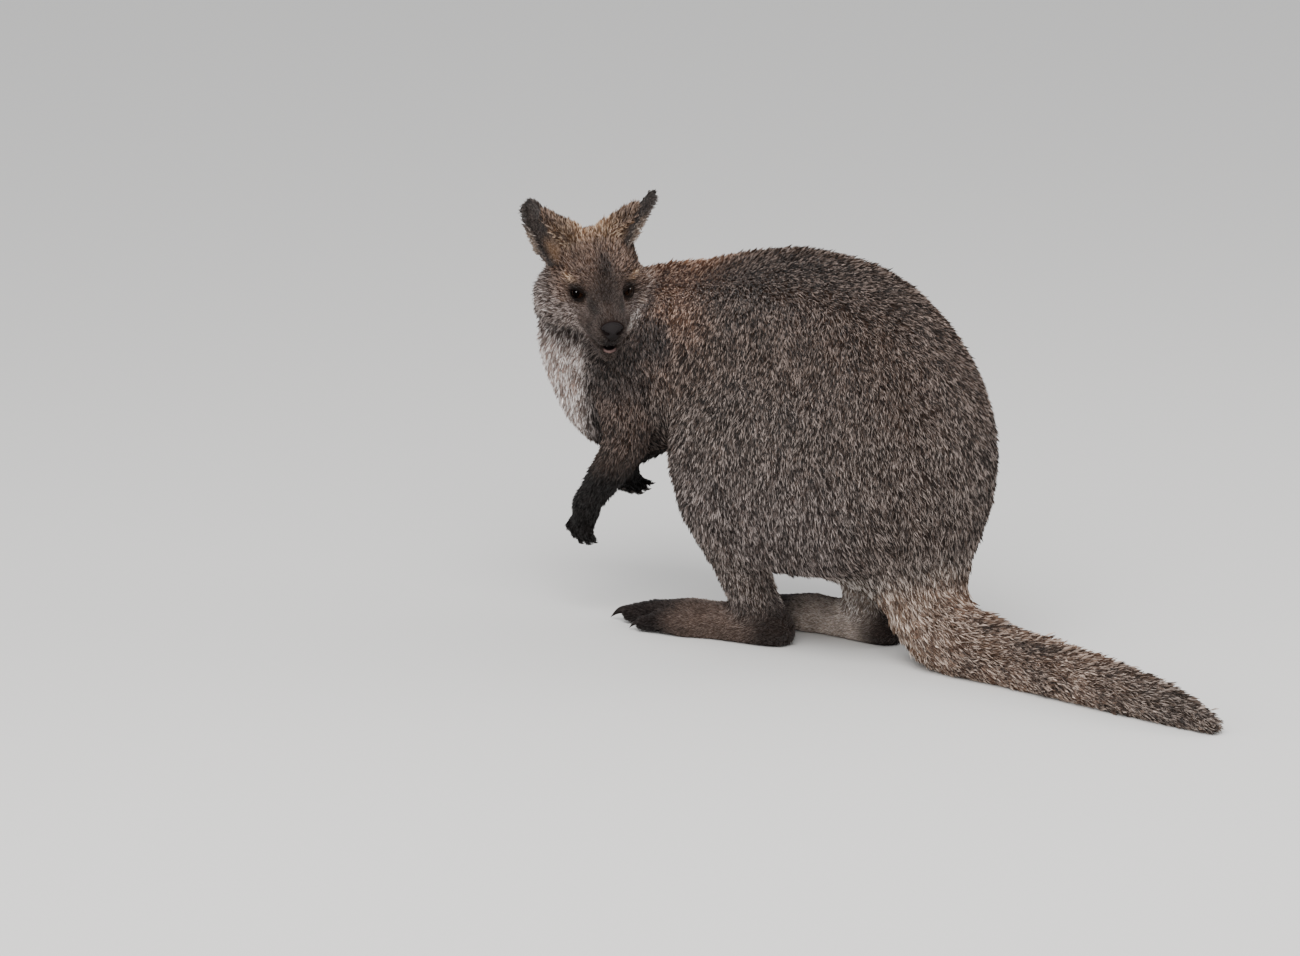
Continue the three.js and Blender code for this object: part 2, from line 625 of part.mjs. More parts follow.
const SHANK_STEP = 16.5, FOOT_STEP = [8.8, 15.5, 8.8];
const claw = (from, to, radius) => {
  const length = hypot(...from.map((c, i) => to[i] - c));
  const cone = new THREE.ConeGeometry(radius, length, 8, 1);
  const centre = new THREE.Vector3(...from).lerp(new THREE.Vector3(...to), 0.5);
  const along = new THREE.Vector3(...to).sub(new THREE.Vector3(...from)).normalize();
  const turn = new THREE.Quaternion().setFromUnitVectors(new THREE.Vector3(0, 1, 0), along);
  return [cone, new THREE.Matrix4().compose(centre, turn, new THREE.Vector3(1, 1, 1))];
};
const FOOT_CLAWS = {
  fourth: [[-0.5, -179, 13], [-2, -210, 2], 6.5],
  fifth: [[24, -149, 10], [27, -170, 2], 4.5],
  third: [[-14.5, -144, 9], [-14, -160, 3], 3],
  second: [[-20.5, -143, 9], [-20.5, -158, 3], 3],
};
for (const s of [LEFT, RIGHT]) {
  const name = s === LEFT ? "left" : "right";
  const back = s === LEFT ? 0 : STAGGER;
  const field = s === LEFT ? hindLeft : hindRight;
  const heel = HEELS[name], middle = heel[0] + s * 15;
  const ankle = { at: [heel[0], -34 + back, 62], normal: [0, 0.25, 1] };
  const legBox = [[middle - 75, -150 + back, 20], [middle + 75, 60 + back, 240]];
  const shank = solidOf(new FieldGeometry(rooted(26, figure, field), legBox, SHANK_STEP));
  add(`shank_${name}`, cut(shank, ankle, 1).subtract(trunkGrown).subtract(tailGrown), COAT.grey);
  const box = [[heel[0] - 50 + s * 8, -230 + back, -10], [heel[0] + 50 + s * 8, 40 + back, 96]];
  const [foot, footGrown] = grownPair(field, box, FOOT_STEP);
  add(`foot_${name}`, cut(foot, ankle, -1).intersect(floor), COAT.dark);
  for (const [toe, [from, to, radius]] of Object.entries(FOOT_CLAWS)) {
    const place = ([x, y, z]) => new THREE.Vector3(s * x, y, z).applyMatrix4(FOOT_FRAMES[name]).toArray();
    const whole = stock(...claw(place(from), place(to), radius));
    const solid = whole.subtract(footGrown).subtract(foot).intersect(floor);
    add(`foot_claw_${toe}_${name}`, solid, BARE.claw);
  }
}

// ---------------------------------------------------------------- fore limbs

const ARM_STEP = 13.5, HAND_STEP = 5.2;
const HAND_BOX = [[-31, -35, -33], [31, 45, 26]];

// A box around points, r wider on every side.
function around(points, r) {
  const axes = [0, 1, 2].map((i) => points.map((p) => p[i]));
  return [axes.map((values) => min(...values) - r), axes.map((values) => max(...values) + r)];
}

for (const [name, arm] of Object.entries(arms)) {
  const [, , elbow, wrist] = arm.points;
  const run = wrist.map((c, i) => c - elbow[i]);
  const elbowCut = { at: elbow.map((c, i) => c + 0.02 * run[i]), normal: run };
  const wristCut = { at: elbow.map((c, i) => c + 0.93 * run[i]), normal: run };
  const upper = solidOf(new FieldGeometry(rooted(14, figure, arm.field), around(arm.points, 52), ARM_STEP));
  const clear = upper.subtract(trunkGrown).subtract(headGrown).subtract(placed(snoutGrown));
  add(`upper_arm_${name}`, cut(clear, elbowCut, -1), COAT.grey);
  add(`forearm_${name}`, cut(cut(clear, elbowCut, 1), wristCut, -1), COAT.rufous);
  const inHand = (x, y, z) => arm.field(...new THREE.Vector3(x, y, z).applyMatrix4(arm.frame));
  const [hand, handGrown] = grownPair(inHand, HAND_BOX, HAND_STEP, arm.frame);
  add(`hand_${name}`, cut(hand, wristCut, 1), COAT.dark);
  DIGITS.forEach((n, i) => {
    const { knuckle, tip } = digit(n, arm.curl);
    const set = tip.map((c, k) => c - (c - knuckle[k]) * 0.25); // the claw's base lies within the finger
    const point = tip.map((c, k) => c + (c - knuckle[k]) * 0.75 + (k === 2 ? -4 : 0));
    const [cone, where] = claw(set, point, 2.6);
    const solid = stock(cone, where.premultiply(arm.frame)).subtract(handGrown).subtract(hand);
    add(`hand_claw_${i + 1}_${name}`, solid, BARE.claw);
  });
}

// ---------------------------------------------------------------- neck and head

add("neck", cut(trunkSolid, NAPE, 1).subtract(headShare(-SEAM / 2)), COAT.rufous);

// The rest of the head is shaped in the head's own axes and then placed.
// An ear as a leaf with a deep cup: y along it, x across it and z out of its opening. Each ring runs over the
// inner side and back over the outer one.
class EarGeometry extends THREE.BufferGeometry {
  constructor({ length, width, cup, thick }, rings = 10, across = 6) {
    super();
    const points = [], index = [];
    const loop = 2 * (across + 1);
    for (let i = 0; i <= rings; i++) {
      const t = 1 - (1 - i / rings) ** 1.5;
      const half = (width / 2) * this.outline(t);
      const deep = cup * (1 - 0.75 * t ** 1.5) * min(1, half / (width * 0.2));
      const y = -EAR_SUNK + (length + EAR_SUNK) * t;
      const bow = -EAR_BOW * sin(PI * t * 0.9) * 0.5;
      for (let j = 0; j < loop; j++) {
        const inner = j <= across;
        const s = inner ? -1 + (2 * j) / across : 1 - (2 * (j - across - 1)) / across;
        const wrap = 1 - 0.28 * (1 - t) * (1 - t) * abs(s); // the rims draw together at the root
        const back = inner ? 0 : thick * (0.3 + 0.7 * (1 - s * s)) * (1 - 0.5 * t);
        points.push(half * s * wrap, y, bow - deep * (1 - s * s) - back);
      }
    }
    for (let i = 0; i < rings; i++) {
      for (let j = 0; j < loop; j++) {
        const [a, b] = [i * loop + j, i * loop + ((j + 1) % loop)];
        index.push(a, b, b + loop, a, b + loop, a + loop);
      }
    }
    for (const ring of [0, rings]) {
      const base = ring * loop;
      const centre = points.length / 3;
      points.push(...[0, 1, 2].map((m) => {
        let sum = 0;
        for (let j = 0; j < loop; j++) sum += points[(base + j) * 3 + m];
        return sum / loop;
      }));
      for (let j = 0; j < loop; j++) {
        const [a, b] = [base + j, base + ((j + 1) % loop)];
        index.push(...(ring ? [a, b, centre] : [b, a, centre]));
      }
    }
    this.setAttribute("position", new THREE.Float32BufferAttribute(points, 3));
    this.setIndex(index);
  }

  // Half the width at t along the ear, as a share of the greatest: widest below the middle, with a round tip.
  outline(t) {
    return Math.sqrt(max(0.01, 1 - ((t - 0.42) / 0.583) ** 2));
  }
}
const SIDES = { left: LEFT, right: RIGHT };

const onSide = (s, [x, y, z]) => [x, s * y, z];
const eyeBall = (s, grow) => (
  ellipsoid(onSide(s, EYE.at), Array(3).fill(EYE.radius + grow), [0, 0, 0], [14, 9])
);
// The opening between the lids: a long lens that points outwards along the gaze.
const lidOpening = (s) => {
  const look = new THREE.Vector3(...onSide(s, EYE_LOOK)).normalize();
  const level = new THREE.Vector3(0.9, -s * 0.5, -0.12).normalize();
  const across = new THREE.Vector3().crossVectors(look, level).normalize();
  const along = new THREE.Vector3().crossVectors(across, look);
  const centre = new THREE.Vector3(...onSide(s, EYE.at)).addScaledVector(look, EYE.radius);
  along.multiplyScalar(LID.length / 2);
  across.multiplyScalar(LID.height / 2);
  look.multiplyScalar(LID.depth);
  const matrix = new THREE.Matrix4().makeBasis(along, across, look).setPosition(centre);
  return stock(new THREE.SphereGeometry(1, 16, 10), matrix);
};
const withLids = (solid) => [LEFT, RIGHT].reduce(
  (made, s) => made.add(eyeBall(s, LID.thick)).subtract(lidOpening(s)).subtract(eyeBall(s, SEAM)), solid,
);

const noseCutter = (grow) => ellipsoid(NOSE.at, NOSE.radii.map((r) => r + grow), [0, 12, 0], [14, 10]);
const nostril = (s) => (
  ellipsoid(onSide(s, NOSE.nostril), [7, 3.6, 2.4], [s * -32, 20, s * 34], [8, 6])
);
const groove = ellipsoid(NOSE.groove, [8, 1.1, 9], [0, -25, 0], [8, 8]);
const mouthUpper = { at: [MOUTH.corner, 0, MOUTH.level], normal: [0, 0, 1] };
const mouthLower = { at: [MOUTH.corner, 0, MOUTH.level], normal: [MOUTH.fall, 0, 1] };

add("head", placed(withLids(cut(skull, SNOUT_CUT, -1))).intersect(headShare(SEAM / 2)), COAT.face);
const front = cut(snoutSolid, SNOUT_CUT, 1);
const upper = cut(front, mouthUpper, 1).subtract(groove);
add("muzzle", placed(upper.subtract(noseCutter(SEAM))), COAT.face);
add("jaw", placed(cut(front, mouthLower, -1)), COAT.throat);
const nosePad = upper.intersect(noseCutter(0)).subtract(nostril(LEFT)).subtract(nostril(RIGHT));
add("nose", placed(nosePad), BARE.nose);
for (const [name, s] of Object.entries(SIDES)) {
  const ear = solidOf(new EarGeometry(EAR).applyMatrix4(EAR_FRAMES[name]));
  add(`ear_${name}`, placed(ear.subtract(skullGrown)), COAT.ear);
  add(`eye_${name}`, placed(eyeBall(s, 0)), BARE.eye);
}

// ---------------------------------------------------------------- origin

const footprint = new THREE.Box3();
model.children.forEach((node) => footprint.expandByObject(node));
const middle = footprint.getCenter(new THREE.Vector3());
model.children.forEach((node) => node.geometry.translate(-middle.x, -middle.y, -footprint.min.z));

export default model;
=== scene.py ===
"""A red-necked wallaby, life size, crouched on its hind feet and tail, looking back over its left shoulder.

The skin is the surface of one field, made of the same masses and columns as the solids and set in by the
depth of the coat. The coat is a layer of closed, bent blades of hair that grow from the skin along its lie.
Fields, sizes and places are millimetres in the stance: +X is the animal's left, +Y its rear and +Z up, with
the floor at 0. Places on the head are in its own axes: u towards the nose, v to its left and w up, from the
point between the eyes.
"""
import math

import bpy
import numpy as np
from mathutils import Matrix, Vector


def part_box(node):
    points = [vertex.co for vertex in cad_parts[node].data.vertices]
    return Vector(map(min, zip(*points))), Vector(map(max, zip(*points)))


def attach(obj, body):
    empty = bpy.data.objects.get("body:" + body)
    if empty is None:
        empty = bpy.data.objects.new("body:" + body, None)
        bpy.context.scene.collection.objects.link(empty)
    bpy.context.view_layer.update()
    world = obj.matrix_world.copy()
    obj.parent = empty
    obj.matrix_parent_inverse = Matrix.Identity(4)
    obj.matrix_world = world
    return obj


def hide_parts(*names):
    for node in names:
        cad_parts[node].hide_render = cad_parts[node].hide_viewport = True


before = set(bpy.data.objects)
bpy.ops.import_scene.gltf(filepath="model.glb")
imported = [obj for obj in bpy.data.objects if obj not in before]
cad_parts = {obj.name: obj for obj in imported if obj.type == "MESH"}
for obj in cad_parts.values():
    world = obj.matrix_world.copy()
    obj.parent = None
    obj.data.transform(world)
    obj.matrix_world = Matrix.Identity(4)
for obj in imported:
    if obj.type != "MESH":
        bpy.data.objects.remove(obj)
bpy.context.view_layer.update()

MM = 0.001
SEED = 20
LEFT, RIGHT = 1, -1
SIDES = {"left": LEFT, "right": RIGHT}

# ---- sizes

BARREL = dict(at=(0, 50, 260), radii=(94, 176, 178))
RUMP = dict(at=(0, 120, 212), radii=(94, 116, 138))
LOIN = dict(at=(0, -30, 308), radii=(80, 118, 122), pitch=6)
THORAX = dict(at=(0, -142, 306), radii=(66, 132, 98), pitch=20)
BREAST = dict(at=(0, -245, 268), radii=(49, 80, 84), pitch=30)
TRUNK_BLEND, BODY_BLEND, LEG_BLEND, ARM_BLEND, HEAD_BLEND = 52, 34, 26, 14, 14

NECK = [(0, -165, 334), (2, -222, 338), (34, -244, 372)]
NECK_RADII = (64, 58, 46)
NECK_SLIM = 1.18
THROAT = dict(at=(12, -271, 318), radii=(46, 64, 64), pitch=20)
RUFF = dict(at=(-54, -40, -33), radii=(32, 25, 36))
JOWL = dict(at=(-22, 35, -20), radii=(26, 24, 31))

STAGGER = 101
HEEL_X = {"left": 44, "right": -28}
TOE_OUT = {"left": 5, "right": -4}
HEEL_Y = -4
HAUNCH = dict(at=(66, 12, 200), radii=(52, 138, 108), pitch=-6)
HAUNCH_LAG = STAGGER * 0.45
SHANK = [(72, -51, 160), (58, -40, 96), (46, -27, 46)]
SHANK_RADII = (44, 31, 26)

SHOULDER = dict(at=(44, -196, 296), radii=(30, 50, 60), pitch=8)
ARM_RADII = (36, 29, 25, 16)
ARMS = {
    "left": [(50, -206, 292), (62, -190, 244), (66, -190, 210), (60, -244, 134)],
    "right": [(-50, -212, 292), (-64, -204, 244), (-68, -204, 214), (-46, -262, 164)],
}
HANDS = {  # wrist, way of the fingers, way of the back of the hand, curl of the fingers in degrees
    "left": ((60, -249, 116), (-0.04, -0.28, -1), (0.95, -0.1, 0.12), 28),
    "right": ((-45, -262, 148), (0.1, 0.5, -0.85), (-0.25, -0.9, -0.45), 45),
}
DIGITS = (-2, -1, 0, 1, 2)

TAIL = [(0, 136, 190), (0, 156, 118), (6, 172, 68), (20, 208, 40), (32, 290, 28),
        (46, 372, 25), (58, 440, 22), (70, 510, 16), (82, 568, 8)]
TAIL_RADII = (74, 53, 47, 41, 31, 27, 24, 18, 8)

HEAD_AT = (84, -208, 387)
HEAD_YAW, HEAD_PITCH, HEAD_ROLL = 134.5, 15, 0.5
EYE_AT, EYE_RADIUS = (1, 24, -1), 11
EYE_LOOK = (0.66, 0.68, 0.3)
EYE_LEVEL = (0.85, -0.55, 0.1)  # along the lids, from the outer corner to the inner one
LID = dict(length=21.5, upper=5.0, lower=6.2)
SOCKET = dict(at=(15, 36, 5), radii=(19, 15, 17))
EARS = {
    "left": dict(root=(-40, 35, 32), points=(-6, 29, 60), opens=(0.2, 0.9, -0.39),
                 fluff=((-44, 42, 73), (-42, 10, 53), 10, 11)),
    "right": dict(root=(-40, -54, 28), points=(-6, -28, 63), opens=(-0.62, -0.72, -0.28),
                  fluff=((-45, -60, 67), (-44, -32, 49), 12, 14)),
}
EAR_LENGTH, EAR_WIDTH, EAR_CUP, EAR_THICK, EAR_SUNK, EAR_BOW = 70, 40, 13, 5, 12, 3
NOSE = dict(at=(68, 0, -16), radii=(12, 14, 11))
NOSE_WIDE, NOSE_NARROWS, NOSE_TURN = 0.92, 0.05, 12  # the bare pad's share of the width, less below; tilt
MOUTH = dict(corner=29, level=-38, fall=0.2, open=50, width=7)
LIP = [(32, 16, -40), (50, 11, -43), (59, 0, -46), (50, -11, -43), (32, -16, -40)]
LIP_RADIUS = 3.4

# ---- fields


def unit(v):
    v = np.asarray(v, float)
    return v / np.maximum(np.linalg.norm(v, axis=-1, keepdims=True), 1e-9)


def turned(axis, degrees):
    return np.array(Matrix.Rotation(math.radians(degrees), 3, axis))


def mass(at, radii, pitch=0):
    turn = turned("X", pitch)
    at, radii = np.array(at, float), np.array(radii, float)

    def field(p):
        q = ((p - at) @ turn) / radii
        reach = np.sqrt((q * q).sum(1))
        slope = np.sqrt(((q / radii) ** 2).sum(1))
        return reach * (reach - 1) / np.maximum(slope, 1e-9)

    return field


def bar(a, b, ra, rb, slim=1.0):
    a, b = np.array(a, float), np.array(b, float)
    run = b - a
    scale = np.array((slim, 1, 1))

    def field(p):
        d = p - a
        t = np.clip(d @ run / (run @ run), 0, 1)
        d = (d - t[:, None] * run) * scale
        return np.sqrt((d * d).sum(1)) - (ra + t * (rb - ra))

    return field


def join(k, *values):
    """The smooth union of fields' values, with fillets about k wide."""
    d = values[0]
    for e in values[1:]:
        h = np.maximum(k - np.abs(d - e), 0) / k
        d = np.minimum(d, e) - h * h * k / 4
    return d


def carve(k, d, e):
    """The first field's values with the inside of the second taken out."""
    h = np.maximum(k - np.abs(d + e), 0) / k
    return np.maximum(d, -e) + h * h * k / 4


def blend(k, *fields):
    return lambda p: join(k, *(f(p) for f in fields))


def spline(points, t):
    """The centripetal Catmull-Rom curve through the points, at t from 0 to 1."""
    points = [np.array(p, float) for p in points]
    points = [2 * points[0] - points[1]] + points + [2 * points[-1] - points[-2]]
    place = t * (len(points) - 3)
    i = min(int(place), len(points) - 4)
    w = place - i
    p0, p1, p2, p3 = points[i:i + 4]
    d0, d1, d2 = (np.linalg.norm(b - a) ** 0.5 for a, b in ((p0, p1), (p1, p2), (p2, p3)))
    m1 = ((p1 - p0) / d0 - (p2 - p0) / (d0 + d1) + (p2 - p1) / d1) * d1
    m2 = ((p2 - p1) / d1 - (p3 - p1) / (d1 + d2) + (p3 - p2) / d2) * d1
    return p1 + m1 * w + (3 * (p2 - p1) - 2 * m1 - m2) * w * w + (2 * (p1 - p2) + m1 + m2) * w ** 3


def near(low, high, margin, field):
    """The field close to a box. Further off it gives the distance to the box, which is no greater."""
    low, high = np.array(low, float), np.array(high, float)

    def boxed(p):
        gap = np.maximum(np.maximum(low - p, p - high), 0)
        d = np.sqrt((gap * gap).sum(1))
        close = d < margin
        d[close] = field(p[close])
        return d

    return boxed


def column(points, radii, pieces=3, slim=1.0, margin=60):
    """A chain of bars along a curve through the points, with the radius running along it."""
    count = (len(points) - 1) * pieces
    ts = np.linspace(0, 1, count + 1)
    places = np.array([spline(points, t) for t in ts])
    widths = np.interp(ts * (len(radii) - 1), range(len(radii)), radii)
    bars = [bar(places[i], places[i + 1], widths[i], widths[i + 1], slim) for i in range(count)]
    chain = lambda p: np.minimum.reduce([f(p) for f in bars])
    return near(places.min(0) - max(radii), places.max(0) + max(radii), margin, chain)


def seen_from(axes, origin, field):
    """A field given in a frame's own axes, which are the columns of axes, seen from the stance."""
    return lambda p: field((p - origin) @ axes)


def mirrored(field):
    return lambda p: field(p * (-1, 1, 1))


def gradient(field, p, step=0.4):
    g = np.empty_like(p)
    for k in range(3):
        d = np.zeros(3)
        d[k] = step
        g[:, k] = (field(p + d) - field(p - d)) / (2 * step)
    return g


def smooth(low, high, x):
    """0 below low and 1 above high, or the other way round where low is the greater."""
    t = np.clip((x - low) / (high - low), 0, 1)
    return t * t * (3 - 2 * t)


def ripple(p, length, seed):
    """A smooth noise of about the given wavelength, mostly from -1 to 1."""
    draw = np.random.default_rng(seed)
    waves = unit(draw.normal(0, 1, (9, 3))) * (2 * math.pi / length) * draw.uniform(0.6, 1.5, (9, 1))
    return np.sin(p @ waves.T + draw.uniform(0, 7, 9)).sum(1) / 3


# ---- the body's fields

trunk = blend(TRUNK_BLEND, *(mass(**m) for m in (BARREL, RUMP, LOIN, THORAX, BREAST)))
collar = blend(40, column(NECK, NECK_RADII, slim=NECK_SLIM), mass(**THROAT))
tail = column(TAIL, TAIL_RADII)


def haunch(s):
    x, y, z = HAUNCH["at"]
    return mass((s * x, y + (s == RIGHT) * HAUNCH_LAG, z), HAUNCH["radii"], HAUNCH["pitch"])


haunches = [haunch(s) for s in SIDES.values()]
shoulders = [mass(**SHOULDER), mirrored(mass(**SHOULDER))]


def foot_field():
    """A left hind foot with its heel at the origin, pointing along -Y."""
    sole = bar((0, 4, 15), (2, -96, 13), 20, 18)
    instep = bar((0, -14, 26), (2, -92, 16), 20, 15)
    pad = mass((3, -112, 14), (25, 34, 18))
    fourth = column([(1, -112, 17), (0, -148, 17), (-1, -182, 11)], (17, 14, 10))
    fifth = column([(16, -104, 13), (22, -128, 14), (25, -152, 9)], (13, 11, 8))
    second = column([(-14, -98, 13), (-17, -126, 12), (-17, -146, 8)], (10, 7.5, 5.5))
    return blend(9, blend(22, sole, instep, pad), fourth, fifth, second)


foot = near((-32, -196, -4), (36, 26, 46), 40, foot_field())
FEET = {
    "left": (turned("Z", TOE_OUT["left"]), np.array((HEEL_X["left"], HEEL_Y, 0.0))),
    "right": (turned("Z", TOE_OUT["right"]), np.array((HEEL_X["right"], HEEL_Y + STAGGER, 0.0))),
}
leg_left = column(SHANK, SHANK_RADII)
LEG_SHIFT = np.array((HEEL_X["left"] + HEEL_X["right"], STAGGER, 0.0))
legs = {"left": leg_left, "right": lambda p: leg_left((p - LEG_SHIFT) * (-1, 1, 1))}
feet = {"left": seen_from(*FEET["left"], foot), "right": seen_from(*FEET["right"], mirrored(foot))}


def digit(n, curl):
    """Root, knuckle and tip of finger n of a hand, in the hand's own axes."""
    spread = math.radians(13 * n)
    reach = 22 - 1.6 * abs(n - 0.3) ** 1.6
    way = np.array((math.sin(spread), math.cos(spread), 0))
    root = np.array((n * 5.8, 11 - abs(n) * 1.2, 1.5))
    knuckle = root + way * reach * 0.55 + (0, 0, 1)
    bent = np.array((way[0], way[1] * math.cos(curl), -math.sin(curl)))
    return root, knuckle, knuckle + bent * reach * 0.45 - (0, 0, 1)


def hand_field(curl):
    palm = blend(10, mass((0, 3, 0), (15.5, 15, 10.5)), mass((0, -8, 0), (14, 14, 12.5)))
    fingers = []
    for n in DIGITS:
        root, knuckle, tip = digit(n, curl)
        fingers.append(blend(2, bar(root, knuckle, 5.4, 4.9), bar(knuckle, tip, 4.9, 4.2)))
    return near((-31, -35, -33), (31, 45, 26), 25, blend(4, palm, *fingers))


def axes_of(along, out):
    """Columns x, y, z of a frame with y along one way and z towards another."""
    y = unit(along)
    x = unit(np.cross(y, out))
    return np.stack((x, y, np.cross(x, y)), 1)


arms, hands, hand_frames = {}, {}, {}
for name, (wrist, along, back, curl) in HANDS.items():
    hand_frames[name] = (axes_of(along, back), np.array(wrist, float))
    arms[name] = column(ARMS[name], ARM_RADII)
    hands[name] = seen_from(*hand_frames[name], hand_field(math.radians(curl)))

EAR_ROOTS = [ear["root"] for ear in EARS.values()]
HEAD = turned("Z", HEAD_YAW - 90) @ turned("Y", HEAD_PITCH) @ turned("X", HEAD_ROLL)
HEAD_ORIGIN = np.array(HEAD_AT, float)
fluff = blend(4, *(bar(*ear["fluff"]) for ear in EARS.values()))
ruff, jowl = mass(**RUFF), mass(**JOWL)


def in_stance(q):
    return np.asarray(q, float) @ HEAD.T + HEAD_ORIGIN


def both(at, radii):
    return [mass((at[0], s * at[1], at[2]), radii) for s in SIDES.values()]


def face_field():
    head = blend(20, mass((-40, 0, 8), (50, 46, 46)), mass((-12, 0, 8), (32, 25, 26)),
                 bar((0, 0, 4), (53, 0, -9), 19, 11.5), bar((0, 0, -15), (49, 0, -21), 24, 13.5),
                 bar((-26, 0, -32), (52, 0, -52), 27, 8.5), *both((-38, 30, -24), (36, 27, 32)))
    lips = [bar((16, s * 16, -27), (54, s * 6, -28), 11, 8.5) for s in SIDES.values()]
    sockets = both(SOCKET["at"], SOCKET["radii"])
    nose = mass((60, 0, -15.5), (13.5, 13.5, 11))
    roots = [mass((x - 2, y * 0.8, z - 4), (18, 12, 16)) for x, y, z in EAR_ROOTS]
    rim = column(LIP, (LIP_RADIUS, LIP_RADIUS))

    def field(q):
        d = join(12, head(q), *(lip(q) for lip in lips))
        for socket in sockets:
            d = carve(9, d, socket(q))
        d = join(12, d, nose(q), *(f(q) for f in roots), fluff(q))
        return join(3, d, rim(q))

    return near((-95, -95, -80), (80, 95, 110), 60, field)


face = face_field()


def side_of(s):
    return np.array((1, s, 1))


def eye_axes(s):
    """Columns along the lids to the inner corner, up across them and out of the eye."""
    look = unit(EYE_LOOK * side_of(s))
    level = EYE_LEVEL * side_of(s)
    along = unit(level - look * (level @ look))
    up = np.cross(look, along)
    return np.stack((along, up * np.sign(up[2]), look), 1)


def lower_lip(u):
    """The level of the lower lip's edge."""
    return MOUTH["level"] - MOUTH["fall"] * (u - MOUTH["corner"])


def wedge(q):
    """Less than 0 between the parted lips."""
    u, v, w = q.T
    upper = w - MOUTH["level"] - 1.5 + 0.16 * np.abs(v)
    sides = np.abs(v) - MOUTH["width"] + 0.35 * (MOUTH["level"] - w)  # narrower below
    return np.maximum.reduce((upper, lower_lip(u) - w, MOUTH["open"] - u, sides))


def bare_nose(q):
    """Less than 0 in the bare pad of the nose, a triangle with round corners."""
    q = q - NOSE["at"]
    wide = NOSE_WIDE * np.maximum(1 - NOSE_NARROWS * np.maximum(3 - q[:, 2], 0), 0.3)
    q = np.stack((q[:, 0], q[:, 1] / wide, q[:, 2]), 1)
    return mass((0, 0, 0), NOSE["radii"])(q @ turned("Y", NOSE_TURN))


def from_eye(q):
    return np.minimum(*(np.linalg.norm(q - EYE_AT * side_of(s), axis=1) for s in SIDES.values()))


def parts(p):
    """The outline out to the hair's tips, the distance to each part and the places in the head's axes."""
    q = (p - HEAD_ORIGIN) @ HEAD
    d = {name: field(p) for name, field in {"trunk": trunk, "neck": collar, "tail": tail}.items()}
    for name, field in {"face": face, "fluff": fluff, "ruff": ruff, "jowl": jowl}.items():
        d[name] = field(q)
    haunch_values = [h(p) for h in haunches]
    limbs = {kind: [group[s](p) for s in SIDES]
             for kind, group in (("leg", legs), ("foot", feet), ("arm", arms), ("hand", hands))}
    body = join(BODY_BLEND, d["trunk"], d["neck"], *haunch_values, *(s(p) for s in shoulders), d["tail"])
    outer = join(HEAD_BLEND, join(HEAD_BLEND, d["face"], d["ruff"], d["jowl"]), body)
    for leg, foot_value in zip(limbs["leg"], limbs["foot"]):
        outer = join(LEG_BLEND, outer, join(20, leg, foot_value))
    for arm, hand in zip(limbs["arm"], limbs["hand"]):
        outer = join(ARM_BLEND, outer, join(10, arm, hand))
    d["haunch"] = np.minimum(*haunch_values) - 4
    d.update({kind: np.minimum(*values) for kind, values in limbs.items()})
    d["leg"] = d["leg"] + 14 * smooth(110, 170, p[:, 2])
    d["arm"] = d["arm"] + 14 * smooth(235, 290, p[:, 2])
    return outer, d, q


# ---- the lie and depth of the coat

# For each region: depth of the coat, length, width and lift of its blades of hair, and how many grow on a
# square centimetre, for a count that is scaled later to the whole coat.
COATS = {
    "trunk": (6.5, 12.5, 0.58, 37, 86, "fur_back"),
    "haunch": (6.5, 12.5, 0.58, 36, 86, "fur_grey"),
    "neck": (7.5, 14, 0.56, 38, 90, "fur_rufous"),
    "tail": (6, 17, 0.6, 25, 90, "fur_tail"),
    "leg": (4.2, 9.5, 0.52, 34, 120, "fur_grey"),
    "foot": (1.8, 5.5, 0.45, 25, 130, "fur_dark"),
    "arm": (4.2, 10, 0.5, 32, 120, "fur_rufous"),
    "hand": (1.0, 3.2, 0.32, 20, 150, "fur_dark"),
    "face": (4.6, 9.5, 0.38, 36, 190, "fur_face"),
    "fluff": (5, 11.5, 0.36, 40, 230, "fur_face"),
    "ruff": (7, 15, 0.5, 38, 130, "fur_throat"),
    "jowl": (5, 12, 0.42, 36, 170, "fur_face"),
}
QUALITIES = ("length", "width", "lift", "count")
COATS = {r: dict(zip(("depth", *QUALITIES, "slot"), row)) for r, row in COATS.items()}


def shares_of(d):
    """Each region's share of each point, from how near its own field is."""
    close = {r: d[r] - 3 * (r in ("fluff", "ruff", "jowl")) for r in COATS}
    nearest = np.minimum.reduce(list(close.values()))
    shares = {r: np.exp(-(value - nearest) / 5) for r, value in close.items()}
    whole = sum(shares.values())
    return {r: value / whole for r, value in shares.items()}


def shortness(q, shares):
    """How much of its region's length the coat keeps: less towards the nose and by the eyes."""
    muzzle = 0.28 + 0.72 * smooth(38, -30, q[:, 0])
    lids = 0.3 + 0.7 * smooth(12, 26, from_eye(q))
    head = shares["face"] + 0.6 * shares["fluff"] + 0.5 * shares["jowl"]
    return 1 - head * (1 - muzzle * lids)


def coat_depth(p, q, shares):
    depth = sum(shares[r] * COATS[r]["depth"] for r in shares) * shortness(q, shares)
    return depth * (0.15 + 0.85 * smooth(0, 40, p[:, 2]))  # nothing lifts the soles off the floor


def lid_opening(q, s, grow=0.0):
    """Less than 0 in front of the part of the eye that shows."""
    along, up, out = ((q - EYE_AT * side_of(s)) @ eye_axes(s)).T
    narrow = 1 - (along / (LID["length"] / 2)) ** 2
    return np.maximum.reduce((up - LID["upper"] * narrow, -up - LID["lower"] * narrow, 4 - out)) - grow


